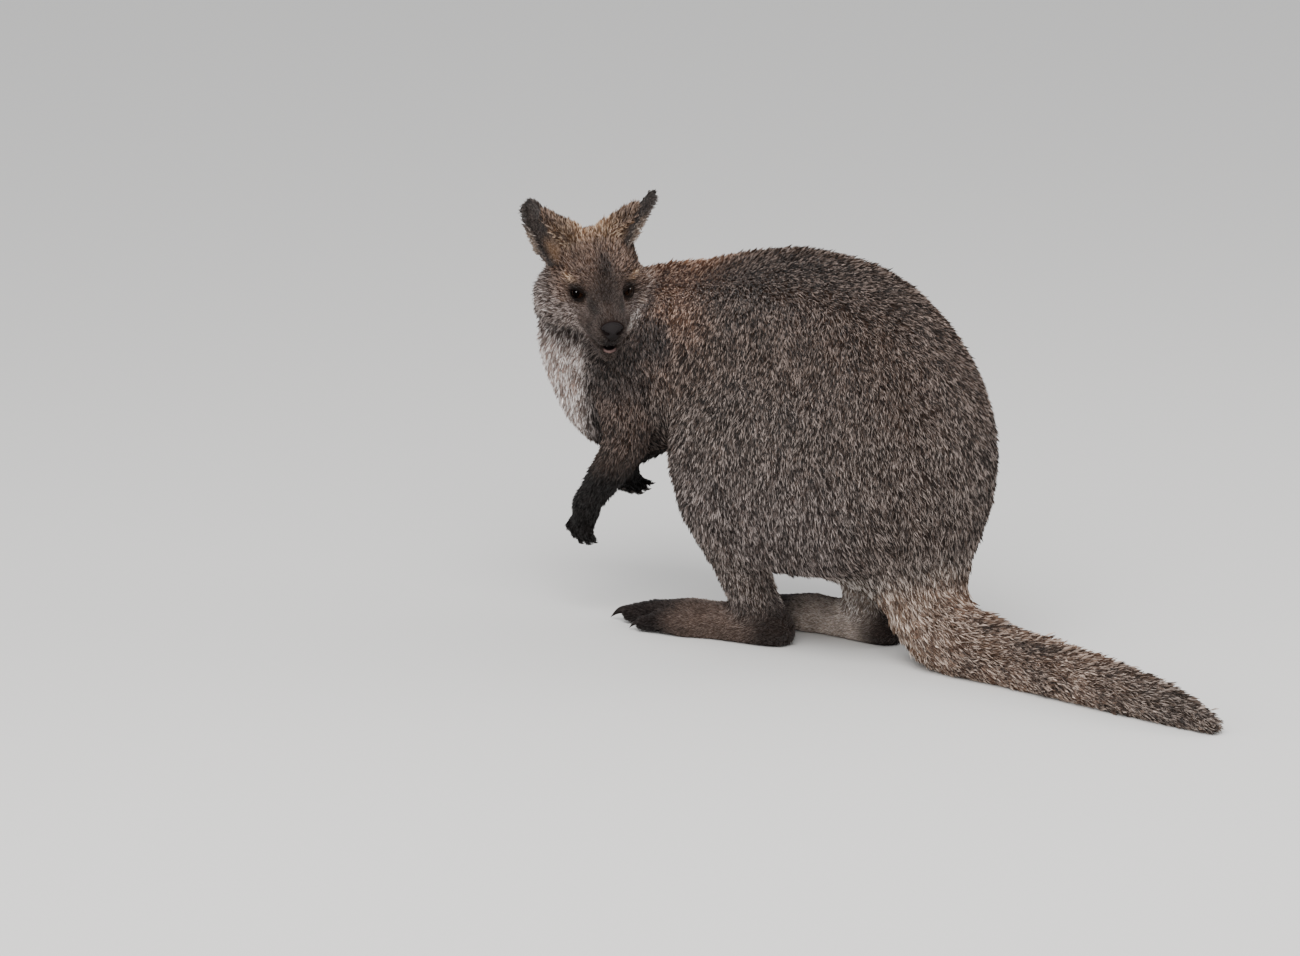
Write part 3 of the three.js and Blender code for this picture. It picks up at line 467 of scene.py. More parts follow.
def skin(p):
    """The skin's surface: the outline set in by the coat, with the lids and the parted lips."""
    outer, d, q = parts(p)
    s = outer + coat_depth(p, q, shares_of(d))
    close = (np.abs(q - (10, 0, 0)) < (60, 60, 70)).all(1)
    at, own, out = q[close], s[close], outer[close]
    for side in SIDES.values():
        lid = np.linalg.norm(at - EYE_AT * side_of(side), axis=1) - EYE_RADIUS - 1.1
        own = carve(0.8, join(5, own, lid), lid_opening(at, side))
    s[close] = carve(1.0, own, np.maximum(wedge(at), -out - 9))
    return np.maximum(s, 0.3 - p[:, 2])  # flat where it rests on the floor


def way_along(points, p):
    """The way that a curve runs at the place nearest to each point."""
    places = np.array([spline(points, t) for t in np.linspace(0, 1, 13)])
    middles, ways = (places[1:] + places[:-1]) / 2, unit(places[1:] - places[:-1])
    gaps = ((p[:, None, :] - middles[None]) ** 2).sum(2)
    weights = np.exp(-(gaps - gaps.min(1, keepdims=True)) / 900)
    return unit(weights @ ways)


def lie_of(p, normals, q, shares):
    """The way the hair lies, along the skin."""
    n = len(p)
    ones, (x, y, z), (u, v, w) = np.ones(n), p.T, q.T
    top = smooth(0.3, 0.9, normals[:, 2])
    under = smooth(-0.5, -0.9, normals[:, 2])
    front = smooth(-170, -250, y)
    is_left = x[:, None] > 8
    crown = smooth(-5, -40, u) * smooth(0, 30, w)
    low = smooth(0, -40, w)
    ways = {
        "trunk": np.stack((0.1 * np.sign(x), 0.4 + top + 1.4 * under - 0.25 * front, -1 + 0.7 * top), 1),
        "haunch": np.stack((0 * ones, 0.35 + 0.6 * top, -0.9 + 0.5 * top), 1),
        "neck": np.stack((0.1 * ones, 0.3 + 0.8 * top - 0.4 * front, -0.9 + 0.3 * top), 1),
        "tail": way_along(TAIL, p),
        "leg": np.tile((0.0, 0.15, -1.0), (n, 1)),
        "foot": np.tile((0.0, -1.0, -0.15), (n, 1)),
        "arm": np.where(is_left, way_along(ARMS["left"], p), way_along(ARMS["right"], p)),
        "hand": np.where(is_left, *(hand_frames[s][0][:, 1] for s in SIDES)),
        "face": np.stack((-ones, 0.25 * np.sign(v) * low, 0.1 + 0.5 * crown - 0.6 * low), 1) @ HEAD.T,
        "fluff": np.stack((-0.35 * ones, 0.5 * np.sign(v), 1.0 * ones), 1) @ HEAD.T,
        "ruff": np.stack((-0.5 * ones, -0.45 * ones, -0.75 * ones), 1) @ HEAD.T,
        "jowl": np.stack((-0.6 * ones, 0.55 * ones, -0.45 * ones), 1) @ HEAD.T,
    }
    way = sum(shares[r][:, None] * unit(ways[r]) for r in shares)
    way = way + 0.16 * np.stack([ripple(p, 42, SEED + k) for k in range(3)], 1)
    return unit(way - normals * (way * normals).sum(1, keepdims=True))


# ---- surfaces


def surface_net(value):
    """Vertices, in steps of the grid, and quads of the surface where the values on a grid are 0."""
    inside = value < 0
    corners = np.array([(c & 1, (c >> 1) & 1, c >> 2) for c in range(8)])
    nx, ny, nz = (n - 1 for n in value.shape)
    count = sum(inside[i:i + nx, j:j + ny, k:k + nz].astype(np.uint8) for i, j, k in corners)
    cells = np.argwhere((count > 0) & (count < 8))
    order = np.full((nx, ny, nz), -1, np.int32)
    order[tuple(cells.T)] = np.arange(len(cells))
    at = [value[tuple((cells + corner).T)] for corner in corners]
    places, crossings = np.zeros((len(cells), 3)), np.zeros(len(cells))
    for a in range(8):
        for b in (a | 1, a | 2, a | 4):
            if b != a:
                cross = (at[a] < 0) != (at[b] < 0)
                t = np.where(cross, at[a] / np.where(cross, at[a] - at[b], 1), 0)
                places += (corners[a] + t[:, None] * (corners[b] - corners[a])) * cross[:, None]
                crossings += cross
    quads = []
    for axis in range(3):
        one, two = (axis + 1) % 3, (axis + 2) % 3
        cross = np.argwhere(inside != np.roll(inside, -1, axis))
        most = np.array(value.shape) - 1
        cross = cross[(cross < most).all(1) & (cross[:, one] > 0) & (cross[:, two] > 0)]
        p, q = np.eye(3, dtype=int)[one], np.eye(3, dtype=int)[two]
        ring = np.stack([order[tuple((cross + move).T)] for move in (-p - q, -q, 0 * p, -p)], 1)
        outward = ~inside[tuple(cross.T)]
        ring[outward] = ring[outward][:, ::-1]
        quads.append(ring)
    quads = np.concatenate(quads)
    return cells + places / crossings[:, None], quads[(quads >= 0).all(1)]


def fine_surface(field, axes, rounds=3, reach=4):
    """The surface of a field: found on every reach-th place of the axes, filled in near it and evened out."""
    rough = [axis[::reach] for axis in axes]
    shape = [len(axis) for axis in rough]
    step = reach * max(np.diff(axis).max() for axis in axes)
    full = field(np.stack(np.meshgrid(*rough, indexing="ij"), -1).reshape(-1, 3))
    full = full.reshape(shape).astype(np.float32)
    close = np.abs(full) < step * 1.3
    for axis in range(3):
        close = close | np.roll(close, 1, axis) | np.roll(close, -1, axis)
    for axis in range(3):
        full, close = np.repeat(full, reach, axis), np.repeat(close, reach, axis)
    cut = tuple(slice(0, len(axis)) for axis in axes)
    full, close = full[cut], np.argwhere(close[cut])
    for held in np.array_split(close, max(1, len(close) // 200000)):
        full[tuple(held.T)] = field(np.stack([axis[i] for axis, i in zip(axes, held.T)], 1))
    places, quads = surface_net(full)
    vertices = np.stack([np.interp(places[:, k], np.arange(len(axes[k])), axes[k]) for k in range(3)], 1)
    a, b = quads.reshape(-1), np.roll(quads, -1, 1).reshape(-1)
    number = np.bincount(a, minlength=len(vertices)) + np.bincount(b, minlength=len(vertices))
    for _ in range(rounds):
        sums = [np.bincount(a, vertices[b, k], len(vertices)) + np.bincount(b, vertices[a, k], len(vertices))
                for k in range(3)]
        vertices = 0.4 * vertices + 0.6 * np.stack(sums, 1) / np.maximum(number, 1)[:, None]
        g = gradient(field, vertices)
        d = np.clip(field(vertices), -2, 2)
        vertices = vertices - g * (d / np.maximum((g * g).sum(1), 0.25))[:, None]
    return vertices, quads


def graded(*stops):
    """Places along an axis. Each stop after the first is where a length ends and the step within it."""
    places = [stops[0]]
    for end, step in stops[1:]:
        while places[-1] < end:
            places.append(places[-1] + step)
    return np.array(places, float)


EYE_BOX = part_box("eye_left")
SHIFT = (np.array(EYE_BOX[0]) + np.array(EYE_BOX[1])) / 2 / MM - in_stance(EYE_AT)


def to_row(p):
    """From stance millimetres to the row frame in metres."""
    return (np.asarray(p) + SHIFT) * MM


def mesh_object(name, vertices, faces, material, smooth_faces=True):
    """An object from stance millimetres and an array of faces that all have the same number of corners."""
    mesh = bpy.data.meshes.new(name)
    faces = np.asarray(faces, np.int32)
    count, corners = faces.shape
    mesh.vertices.add(len(vertices))
    mesh.vertices.foreach_set("co", to_row(vertices).astype(np.float32).ravel())
    mesh.loops.add(count * corners)
    mesh.loops.foreach_set("vertex_index", faces.ravel())
    mesh.polygons.add(count)
    mesh.polygons.foreach_set("loop_start", np.arange(count, dtype=np.int32) * corners)
    mesh.polygons.foreach_set("use_smooth", np.full(count, smooth_faces))
    mesh.update(calc_edges=True)
    mesh.materials.append(material)
    made = bpy.data.objects.new(name, mesh)
    bpy.context.scene.collection.objects.link(made)
    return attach(made, "root")


def paint(obj, colours):
    rgba = np.concatenate((colours, np.ones((len(colours), 1))), 1).astype(np.float32)
    attribute = obj.data.attributes.new("coat", "FLOAT_COLOR", "POINT")
    attribute.data.foreach_set("color", rgba.ravel())


# ---- markings, with painted shade under the head


def tone(r, g, b):
    """A linear colour from one given as a screen shows it, 0 to 255."""
    c = np.array((r, g, b)) / 255
    return np.where(c <= 0.04045, c / 12.92, ((c + 0.055) / 1.055) ** 2.4)


TONES = {name: tone(*rgb) for name, rgb in {
    "back": (86, 69, 59), "flank": (90, 76, 68), "belly": (150, 138, 128), "rufous": (150, 110, 84),
    # chest: the chest's dark fur, also laid as painted shade under the head and beside the left cheek
    "shoulder": (98, 76, 63), "throat": (204, 188, 180), "chest": (58, 47, 42), "haunch": (96, 83, 77),
    "leg": (106, 92, 84), "foot": (104, 86, 76), "toe": (46, 37, 34), "heel": (58, 47, 42),
    "pale": (186, 170, 158), "arm": (72, 56, 47), "hand": (27, 22, 20), "tail": (142, 116, 98),
    "tail_base": (168, 145, 126), "tail_tip": (102, 87, 77), "streak": (66, 52, 44), "face": (96, 72, 57),
    "cheek": (128, 113, 106), "muzzle": (66, 55, 50), "crown": (156, 118, 84), "tan": (172, 138, 106),
    "dark": (36, 29, 26), "white": (214, 202, 192), "ear": (58, 48, 43), "ear_inside": (140, 116, 102),
    # mouth: near black red, the dark red inside of the mouth deepened as painted shade, also painted shade at
    # the edge of the nose pad
    "ear_rim": (186, 164, 146), "lip": (116, 92, 88), "red_shade": (24, 15, 15),
    "crown_edge": (176, 140, 104), "under_eye": (112, 96, 88), "below_cheek": (106, 93, 87),
}.items()}


def mix(base, name, share):
    return base + (TONES[name] - base) * np.clip(share, 0, 1)[:, None]


def layered(base, *layers):
    """Colours with shares of named tones laid over them in turn."""
    for name, share in layers:
        base = mix(base, name, share)
    return base


def spot(q, at, radii, soft=0.6):
    """1 in the middle of a soft ellipsoid, 0 outside it."""
    reach = np.sqrt((((q - np.array(at, float)) / np.array(radii, float)) ** 2).sum(1))
    return smooth(1, 1 - soft, reach)


def stripe(q, a, b, width, soft=0.6):
    """1 along a line from a to b, 0 at its width."""
    return smooth(width, width * (1 - soft), bar(a, b, 0, 0)(q))


def face_markings(q):
    """Colours of the head from its own coordinates."""
    u, v, w = q.T
    own = np.stack((u, np.abs(v), w), 1)
    return layered(
        np.tile(TONES["face"], (len(q), 1)),
        ("cheek", 0.8 * smooth(2, -26, w) * smooth(26, 0, u)),
        ("pale", 0.3 * smooth(44, 58, own[:, 1]) * smooth(0, -20, w)),
        ("crown", 0.8 * spot(own, (-42, 14, 54), (26, 36, 22), 0.8)),
        ("crown_edge", 0.7 * spot(own, (-52, 12, 56), (18, 26, 16), 0.8)),
        ("muzzle", 0.85 * smooth(-4, 34, u)),
        ("under_eye", 0.55 * spot(own, (24, 24, -14), (18, 12, 12), 0.8)),
        ("dark", 0.8 * spot(own, (5, 0, 36), (26, 13, 22), 0.8)),
        ("dark", 0.6 * stripe(own, (12, 0, 24), (38, 0, 8), 14, 0.8)),
        ("dark", 0.7 * stripe(own, (16, 22, 4), (50, 9, -6), 7, 0.8)),
        ("dark", 0.9 * spot(own, (8, 30, 2), (20, 16, 13), 0.5)),
        ("tan", 0.8 * stripe(own, (-12, 36, 13), (1, 31, 15), 6, 0.8)),
        ("tan", 0.65 * stripe(own, (-6, 43, -11), (4, 42, -13), 6, 0.8)),
        ("white", 0.8 * stripe(own, (6, 41, -23), (22, 27, -38), 8, 0.8)),
        ("muzzle", 0.9 * spot(own, (62, 0, -26), (20, 22, 16), 0.6)),
        ("dark", 0.9 * spot(own, (66, 0, -30), (14, 11, 11), 0.6)),
        ("below_cheek", 0.8 * smooth(-44, -58, w) * smooth(34, 8, u)),
    )


def markings(p, normals, q, shares):
    """The coat's main colour at each point, with painted shade under the head."""
    x, y, z = p.T
    level = q[:, 2]
    tone_of = lambda name: np.tile(TONES[name], (len(p), 1))
    inner = np.where(x > 8, -1, 1) * normals[:, 0]  # towards the other limb
    along_foot = np.where(x > 8, y, y - STAGGER)
    ahead = 0.55 * x - 0.83 * y  # towards the front of the chest, as it turns to the left
    # Where the head shades the body: low is the front of the chest below the head, and dark adds a spot
    # beside the left cheek. The dark chest tone laid over them is painted shade on the chest's dark fur.
    low = smooth(140, 190, ahead) * smooth(410, 370, z)
    dark = np.maximum(low, spot(q, (48, 50, -36), (52, 36, 44), 0.6))  # the shade beside the left cheek too
    front = low * smooth(218, 260, ahead + 5 * ripple(p, 30, 8))
    pale_chest = ("below_cheek", 0.9 * front), ("throat", 0.95 * front * smooth(344, 300, z))
    streaks = smooth(0.1, 0.9, ripple(p * (1, 0.25, 1), 16, 5))
    face_colours = face_markings(q)
    c = {
        "trunk": layered(
            tone_of("flank"), ("back", smooth(220, 380, z)),
            ("belly", 0.8 * smooth(150, 95, z) * smooth(70, 40, np.abs(x))),
            ("shoulder", 0.8 * smooth(-40, -150, y) * smooth(250, 330, z)),
            # painted shade under the head, in the dark chest tone
            ("rufous", 0.65 * smooth(-50, -140, y) * smooth(325, 370, z)),
            ("chest", 0.92 * dark), *pale_chest),
        "haunch": layered(tone_of("flank"), ("haunch", smooth(260, 160, z))),
        "neck": layered(
            tone_of("shoulder"), ("rufous", smooth(310, 350, z) * smooth(-260, -200, y)),
            # painted shade under the head, in the dark chest tone
            ("chest", 0.92 * dark), *pale_chest),
        "tail": layered(
            tone_of("tail"), ("tail_base", 0.55 * smooth(230, 160, y) * smooth(140, 60, z)),
            ("flank", smooth(60, 150, z)), ("streak", 0.5 * streaks * smooth(210, 260, y)),
            ("tail_tip", 0.85 * smooth(380, 520, y))),
        "leg": layered(
            tone_of("leg"), ("heel", 0.6 * smooth(90, 30, z)), ("pale", 0.75 * smooth(0.1, 0.7, inner))),
        "foot": layered(
            tone_of("foot"), ("pale", 0.9 * smooth(-0.1, 0.5, inner)), ("heel", smooth(-40, 0, along_foot)),
            ("toe", smooth(-90, -140, along_foot))),
        "arm": layered(
            # painted shade under the head on the top of the arm, in the dark chest tone
            tone_of("shoulder"), ("arm", smooth(290, 230, z)), ("chest", 0.92 * low * smooth(245, 285, z)),
            ("hand", smooth(208, 165, z))),
        "hand": tone_of("hand"),
        "face": face_colours,
        "fluff": layered(tone_of("crown_edge"), ("face", 0.85 * smooth(46, 70, level))),
        "ruff": layered(tone_of("cheek"), ("below_cheek", smooth(-24, -50, level))),
        "jowl": layered(
            face_colours, ("cheek", 0.7 * smooth(6, -14, level)), ("pale", 0.35 * smooth(46, 58, q[:, 1]))),
    }
    colour = sum(shares[r][:, None] * c[r] for r in shares)
    return colour * np.exp(0.12 * ripple(p, 13, 1) + 0.1 * ripple(p, 34, 2))[:, None]


# ---- materials


def nodes_of(name):
    material = bpy.data.materials.new(name)
    material.use_nodes = True
    tree = material.node_tree
    return material, tree, tree.nodes["Principled BSDF"]


def linked(tree, kind, inputs=(), **settings):
    """A node of a kind, with its settings and with sockets linked or set by name."""
    node = tree.nodes.new(kind)
    for key, value in settings.items():
        setattr(node, key, value)
    for key, value in dict(inputs).items():
        if isinstance(value, bpy.types.NodeSocket):
            tree.links.new(value, node.inputs[key])
        else:
            node.inputs[key].default_value = value
    return node


def painted(name, rough, grain, spread, bump=0.0, sheen=0.0, coat=0.0, specular=0.25):
    """A surface in the colours painted on the mesh, varied by a fine noise of grain per metre."""
    material, tree, shader = nodes_of(name)
    colour = linked(tree, "ShaderNodeAttribute", attribute_name="coat")
    place = linked(tree, "ShaderNodeTexCoord").outputs["Object"]
    noise = linked(tree, "ShaderNodeTexNoise", {
        "Vector": place, "Scale": grain, "Detail": 3.0, "Roughness": 0.6}).outputs["Fac"]
    value = linked(tree, "ShaderNodeMapRange", {
        "Value": noise, "From Min": 0.3, "From Max": 0.7, "To Min": 1 - spread, "To Max": 1 + spread})
    varied = linked(tree, "ShaderNodeHueSaturation", {
        "Color": colour.outputs["Color"], "Value": value.outputs["Result"]})
    tree.links.new(varied.outputs["Color"], shader.inputs["Base Color"])
    settings = {"Roughness": rough, "Specular IOR Level": specular, "Coat Weight": coat,
                "Coat Roughness": 0.04, "Sheen Weight": sheen, "Sheen Roughness": 0.5}
    for key, setting in settings.items():
        shader.inputs[key].default_value = setting
    if bump:
        relief = linked(tree, "ShaderNodeBump", {"Height": noise, "Strength": bump, "Distance": 0.001})
        tree.links.new(relief.outputs["Normal"], shader.inputs["Normal"])
    return material


SKIN = painted("skin", 0.85, 900.0, 0.25, bump=0.5)
FUR = painted("fur", 0.62, 260.0, 0.14, sheen=0.2)
EYE = painted("eye", 0.08, 500.0, 0.2, coat=1.0, specular=0.6)
LIDS = painted("lid", 0.45, 1500.0, 0.3, bump=0.5)
CLAW = painted("claw", 0.34, 700.0, 0.3, bump=0.3, specular=0.4)
PAD = painted("nose", 0.5, 1400.0, 0.35, bump=0.9, specular=0.25)

# ---- skin

SKIN_TRIANGLES = 190_000


def thin(obj, most):
    """Draws a mesh together where it is flattest, to no more than a number of triangles."""
    triangles = sum(len(face.vertices) - 2 for face in obj.data.polygons)
    if triangles > most:
        obj.modifiers.new("thin", "DECIMATE").ratio = most / triangles
        thinned = obj.evaluated_get(bpy.context.evaluated_depsgraph_get())
        obj.data = bpy.data.meshes.new_from_object(thinned)
        obj.modifiers.clear()


scale = 1.0
skin_axes = (
    graded(-117, (-72, 2.8 * scale), (24, 2.4 * scale), (165, 1.5 * scale)),
    graded(-345, (-300, 2.2 * scale), (-130, 1.5 * scale), (600, 3.0 * scale)),
    graded(-6, (50, 2.0 * scale), (170, 2.0 * scale), (325, 2.8 * scale), (488, 1.5 * scale)),
)
skin_points, skin_quads = fine_surface(skin, skin_axes)
skin_normals = unit(gradient(lambda p: parts(p)[0], skin_points, 1.0))
_, distances, skin_places = parts(skin_points)
shares = shares_of(distances)
skin_lie = lie_of(skin_points, skin_normals, skin_places, shares)
base = markings(skin_points, skin_normals, skin_places, shares)
u, v, w = skin_places.T
inside_mouth = smooth(1.0, 0.2, wedge(skin_places)) * smooth(70, 66, u)
lip_edge = smooth(59.2, 60.4, u + 0.085 * v * v) * smooth(2.2, 1.2, np.abs(w - lower_lip(u) + 1.2))
# The skin is the coat's colour halved: the dark underfur, and painted shade deep in the coat between the
# blades.
skin_colours = layered(
    # painted shade inside the parted mouth, near black over its dark red
    base * 0.5, ("red_shade", inside_mouth),
    ("lip", 0.9 * lip_edge * (u > MOUTH["open"]) * (np.abs(v) < MOUTH["width"])),
    # painted shade on the skin at the edge of the nose pad
    ("red_shade", smooth(1.5, 0.5, bare_nose(skin_places))))
skin_object = mesh_object("skin", skin_points, skin_quads, SKIN)
paint(skin_object, skin_colours)
thin(skin_object, SKIN_TRIANGLES)
BARE = ("eye_", "foot_claw_", "hand_claw_", "nose")
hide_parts(*(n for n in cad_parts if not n.startswith(BARE)))

# ---- coat

TUFTS = 350_000
EAR_TUFTS = 19_000
MOST_TUFTS = 48_000  # in one piece
CLUMP = 4  # blades that share a clump
PATCH = 0.003  # side of a blade's place on the map
CHARTS = (3, 2)
BLADE = np.array([(0, 2, 1), (1, 2, 3), (0, 1, 3), (0, 3, 2)])  # root, left, right and tip
rng = np.random.default_rng(SEED)


def clumps_on(surface, quads, number, bare):
    """A surface's values at the roots of blades scattered over its quads, clump by clump."""
    corners = surface["root"][quads]
    diagonals = np.cross(corners[:, 2] - corners[:, 0], corners[:, 3] - corners[:, 1])
    areas = 0.5 * np.linalg.norm(diagonals, axis=1)
    expected = areas * surface["count"][quads].mean(1) * ~bare[quads].any(1)
    expected *= number / CLUMP / expected.sum()
    owners = np.repeat(np.arange(len(quads)), np.floor(expected + rng.random(len(expected))).astype(int))
    s, t = rng.random((2, len(owners), 1))
    weights = np.concatenate(((1 - s) * (1 - t), s * (1 - t), s * t, (1 - s) * t), 1)
    held = quads[owners]
    coat = {}
    for key, values in surface.items():
        if key == "region":
            coat[key] = values[held[:, 0]]
        else:
            coat[key] = (values[held] * (weights if values.ndim == 1 else weights[..., None])).sum(1)
    coat["normal"], coat["lie"] = unit(coat["normal"]), unit(coat["lie"])
    return {key: np.repeat(values, CLUMP, 0) for key, values in coat.items()}


def blades(coat):
    """Root, sides and tip of each blade, which leaves the skin steeply, bends and leans to its clump."""
    n = len(coat["root"])
    shared = lambda spread: np.repeat(rng.normal(0, spread, n // CLUMP), CLUMP)
    length = coat["length"] * rng.uniform(0.74, 1.2, n)
    across = np.cross(coat["normal"], coat["lie"])
    scatter = rng.normal(0, 0.24, (2, n)) * coat["length"]
    root = coat["root"] + coat["lie"] * scatter[0][:, None] + across * scatter[1][:, None]
    swing = shared(0.12) + rng.normal(0, 0.2, n)
    way = unit(coat["lie"] + across * swing[:, None])
    lift = np.radians(coat["lift"]) * (1 + shared(0.15) + rng.normal(0, 0.2, n))
    onward = lambda angle, reach: way * (np.cos(angle) * reach)[:, None] + coat["normal"] * (
        np.sin(angle) * reach)[:, None]
    bend = root + onward(lift, length * 0.6)
    tip = bend + onward(lift * 0.55, length * 0.4) + (coat["root"] - root) * 0.25
    side = across * (coat["width"] * rng.uniform(0.75, 1.2, n) / 2)[:, None]
    points = np.stack((root - coat["normal"] * 0.7, bend + side, bend - side, tip), 1)
    points[..., 2] = np.maximum(points[..., 2], 0.4 + 0.15 * np.arange(4))  # above the floor
    return points


def agouti(coat):
    """Colours of the root, sides and tip: dark below, with pale, plain or dark outer lengths."""
    n, colour = len(coat["root"]), coat["colour"]
    grey = colour.mean(1, keepdims=True)
    pale = 1 - (1 - np.clip(colour * 0.75 + grey * 0.25, 0, 1)) ** 3.0 + 0.03
    dark = colour * (0.14 + 0.8 * colour)
    kind = np.where(rng.random(n) < 0.25, np.repeat(rng.random(n // CLUMP), CLUMP), rng.random(n))[:, None]
    is_pale, is_plain = kind < 0.34, kind < 0.6
    vary = np.exp(rng.normal(0, 0.16, (n, 1)))
    outer = np.where(is_pale, pale, np.where(is_plain, colour, dark)) * vary
    outer = colour + (outer - colour) * coat["agouti"][:, None]
    tip = outer * np.where(is_pale, 1.1, 0.85)
    return np.stack((colour * 0.42, outer, outer, tip), 1)


def chart_places(p, n):
    """Places on a map of the surface unfolded into six charts, one for each way that it mostly faces."""
    facing = np.argmax(np.abs(n), 1)
    rows = np.arange(len(n))
    chart = facing * 2 + (n[rows, facing] > 0)
    rest = np.stack((p[rows, (facing + 1) % 3], p[rows, (facing + 2) % 3]), 1)
    uv = np.zeros((len(p), 2))
    for c in range(6):
        held = chart == c
        if held.any():
            q = rest[held]
            span = max(np.ptp(q, axis=0).max(), 1e-6)
            uv[held] = ((q - q.min(0)) / span * 0.92 + 0.04 + (c % CHARTS[0], c // CHARTS[0])) / CHARTS
    return uv


def coat_piece(name, coat, slot):
    points = blades(coat)
    n = len(points)
    faces = (BLADE[None] + 4 * np.arange(n)[:, None, None]).reshape(-1, 3)
    piece = mesh_object(name, points.reshape(-1, 3), faces, FUR, smooth_faces=False)
    paint(piece, agouti(coat).reshape(-1, 3))
    offsets = np.array(((0, -0.5), (-0.5, 0.1), (0.5, 0.1), (0, 0.5))) * PATCH
    uv = (chart_places(coat["root"], coat["normal"])[:, None] + offsets[None]).reshape(-1, 2)
    layer = piece.data.uv_layers.new(name="OFBake")
    layer.data.foreach_set("uv", uv[faces.ravel()].astype(np.float32).ravel())


short = shortness(skin_places, shares)
_, along_tail, height = skin_points.T
top_fringe = smooth(0.75, 1, skin_normals[:, 2])
surface = {name: sum(shares[r] * COATS[r][name] for r in shares) for name in QUALITIES}
surface["length"] *= (0.12 + 0.88 * short) * (1 - 0.25 * smooth(30, 0, height))
surface["length"] *= (1 - 0.6 * smooth(545, 592, along_tail)) * (
    1 + 0.25 * top_fringe * (shares["tail"] + shares["trunk"]))
surface["width"] *= 0.5 + 0.5 * short
surface["count"] *= 1 + 1.1 * (1 - short)
surface["lift"] *= 1 + 0.2 * top_fringe * shares["tail"]
surface["agouti"] = 1 - 0.75 * (shares["hand"] + shares["foot"]) - 0.5 * (
    shares["arm"] * smooth(230, 180, height) + shares["face"] * smooth(0, 30, u))
surface.update(root=skin_points, normal=skin_normals, lie=skin_lie, colour=base,
               region=np.argmax(np.stack(list(shares.values())), 0))
on_lips = (np.abs(wedge(skin_places)) < 1.6) & (u > 30)
in_eye = np.minimum(*(lid_opening(skin_places, s, 1.6) for s in SIDES.values())) < 0
in_eye &= from_eye(skin_places) < 16
no_hair = (height < 3) | (inside_mouth > 0.3) | on_lips | in_eye | (bare_nose(skin_places) < 0.3)
coat = clumps_on(surface, skin_quads, TUFTS, no_hair)
for number, region in enumerate(shares):
    own = np.nonzero(coat["region"] == number)[0]
    own = own.reshape(-1, CLUMP)[np.argsort(coat["root"][own[::CLUMP], 1], kind="stable")]
    count = max(1, math.ceil(own.size / MOST_TUFTS))
    for k, chosen in enumerate(np.array_split(own, count)):
        chosen = chosen.ravel()
        if len(chosen):
            held = {key: values[chosen] for key, values in coat.items()}
            coat_piece(f"coat_{region}_{k + 1}", held, COATS[region]["slot"])

# ---- ears


def quads_between(rows, around, closed=False):
    """The quads between rows of points, each row a ring. Closed, the last row meets the first."""
    i, j = np.meshgrid(np.arange(rows - (not closed)), np.arange(around), indexing="ij")
    a, b, after = i * around, (i + 1) % rows * around, (j + 1) % around
    return np.stack((a + j, a + after, b + after, b + j), -1).reshape(-1, 4)


def ear_mesh(rings=48, across=24):
    """A leaf with a deep cup, y along it, in the ear's own axes, as rings over its inner side and back.

    With each point: how far up the ear it is, how far across from -1 to 1, and whether it is inside.
    """
    points, marks = [], []
    for t in 1 - (1 - np.arange(rings + 1) / rings) ** 1.5:
        half = (EAR_WIDTH / 2 - 1.5) * math.sqrt(max(0.004, 1 - ((t - 0.42) / 0.583) ** 2))
        deep = EAR_CUP * (1 - 0.75 * t ** 1.5) * min(1, half / (EAR_WIDTH * 0.2))
        bow = -EAR_BOW * math.sin(math.pi * t * 0.9) * 0.5
        for j in range(2 * across):
            inner = j <= across
            s = -1 + 2 * j / across if inner else 1 - 2 * (j - across) / across
            wrap = 1 - 0.28 * (1 - t) ** 2 * abs(s)
            back = 0 if inner else (EAR_THICK - 3) * (0.35 + 0.65 * (1 - s * s)) * (1 - 0.5 * t)
            points.append((half * s * wrap, -EAR_SUNK + (EAR_LENGTH + EAR_SUNK - 3) * t,
                           -1 - deep * (1 - s * s) - back + bow))
            marks.append((t, s, inner))
    return np.array(points), np.array(marks, float).T, quads_between(rings + 1, 2 * across)


def vertex_normals(points, quads):
    corners = points[quads]
    normals = np.cross(corners[:, 2] - corners[:, 0], corners[:, 3] - corners[:, 1])
    out = np.zeros_like(points)
    for k in range(4):
        for axis in range(3):
            out[:, axis] += np.bincount(quads[:, k], normals[:, axis], len(points))
    return unit(out)


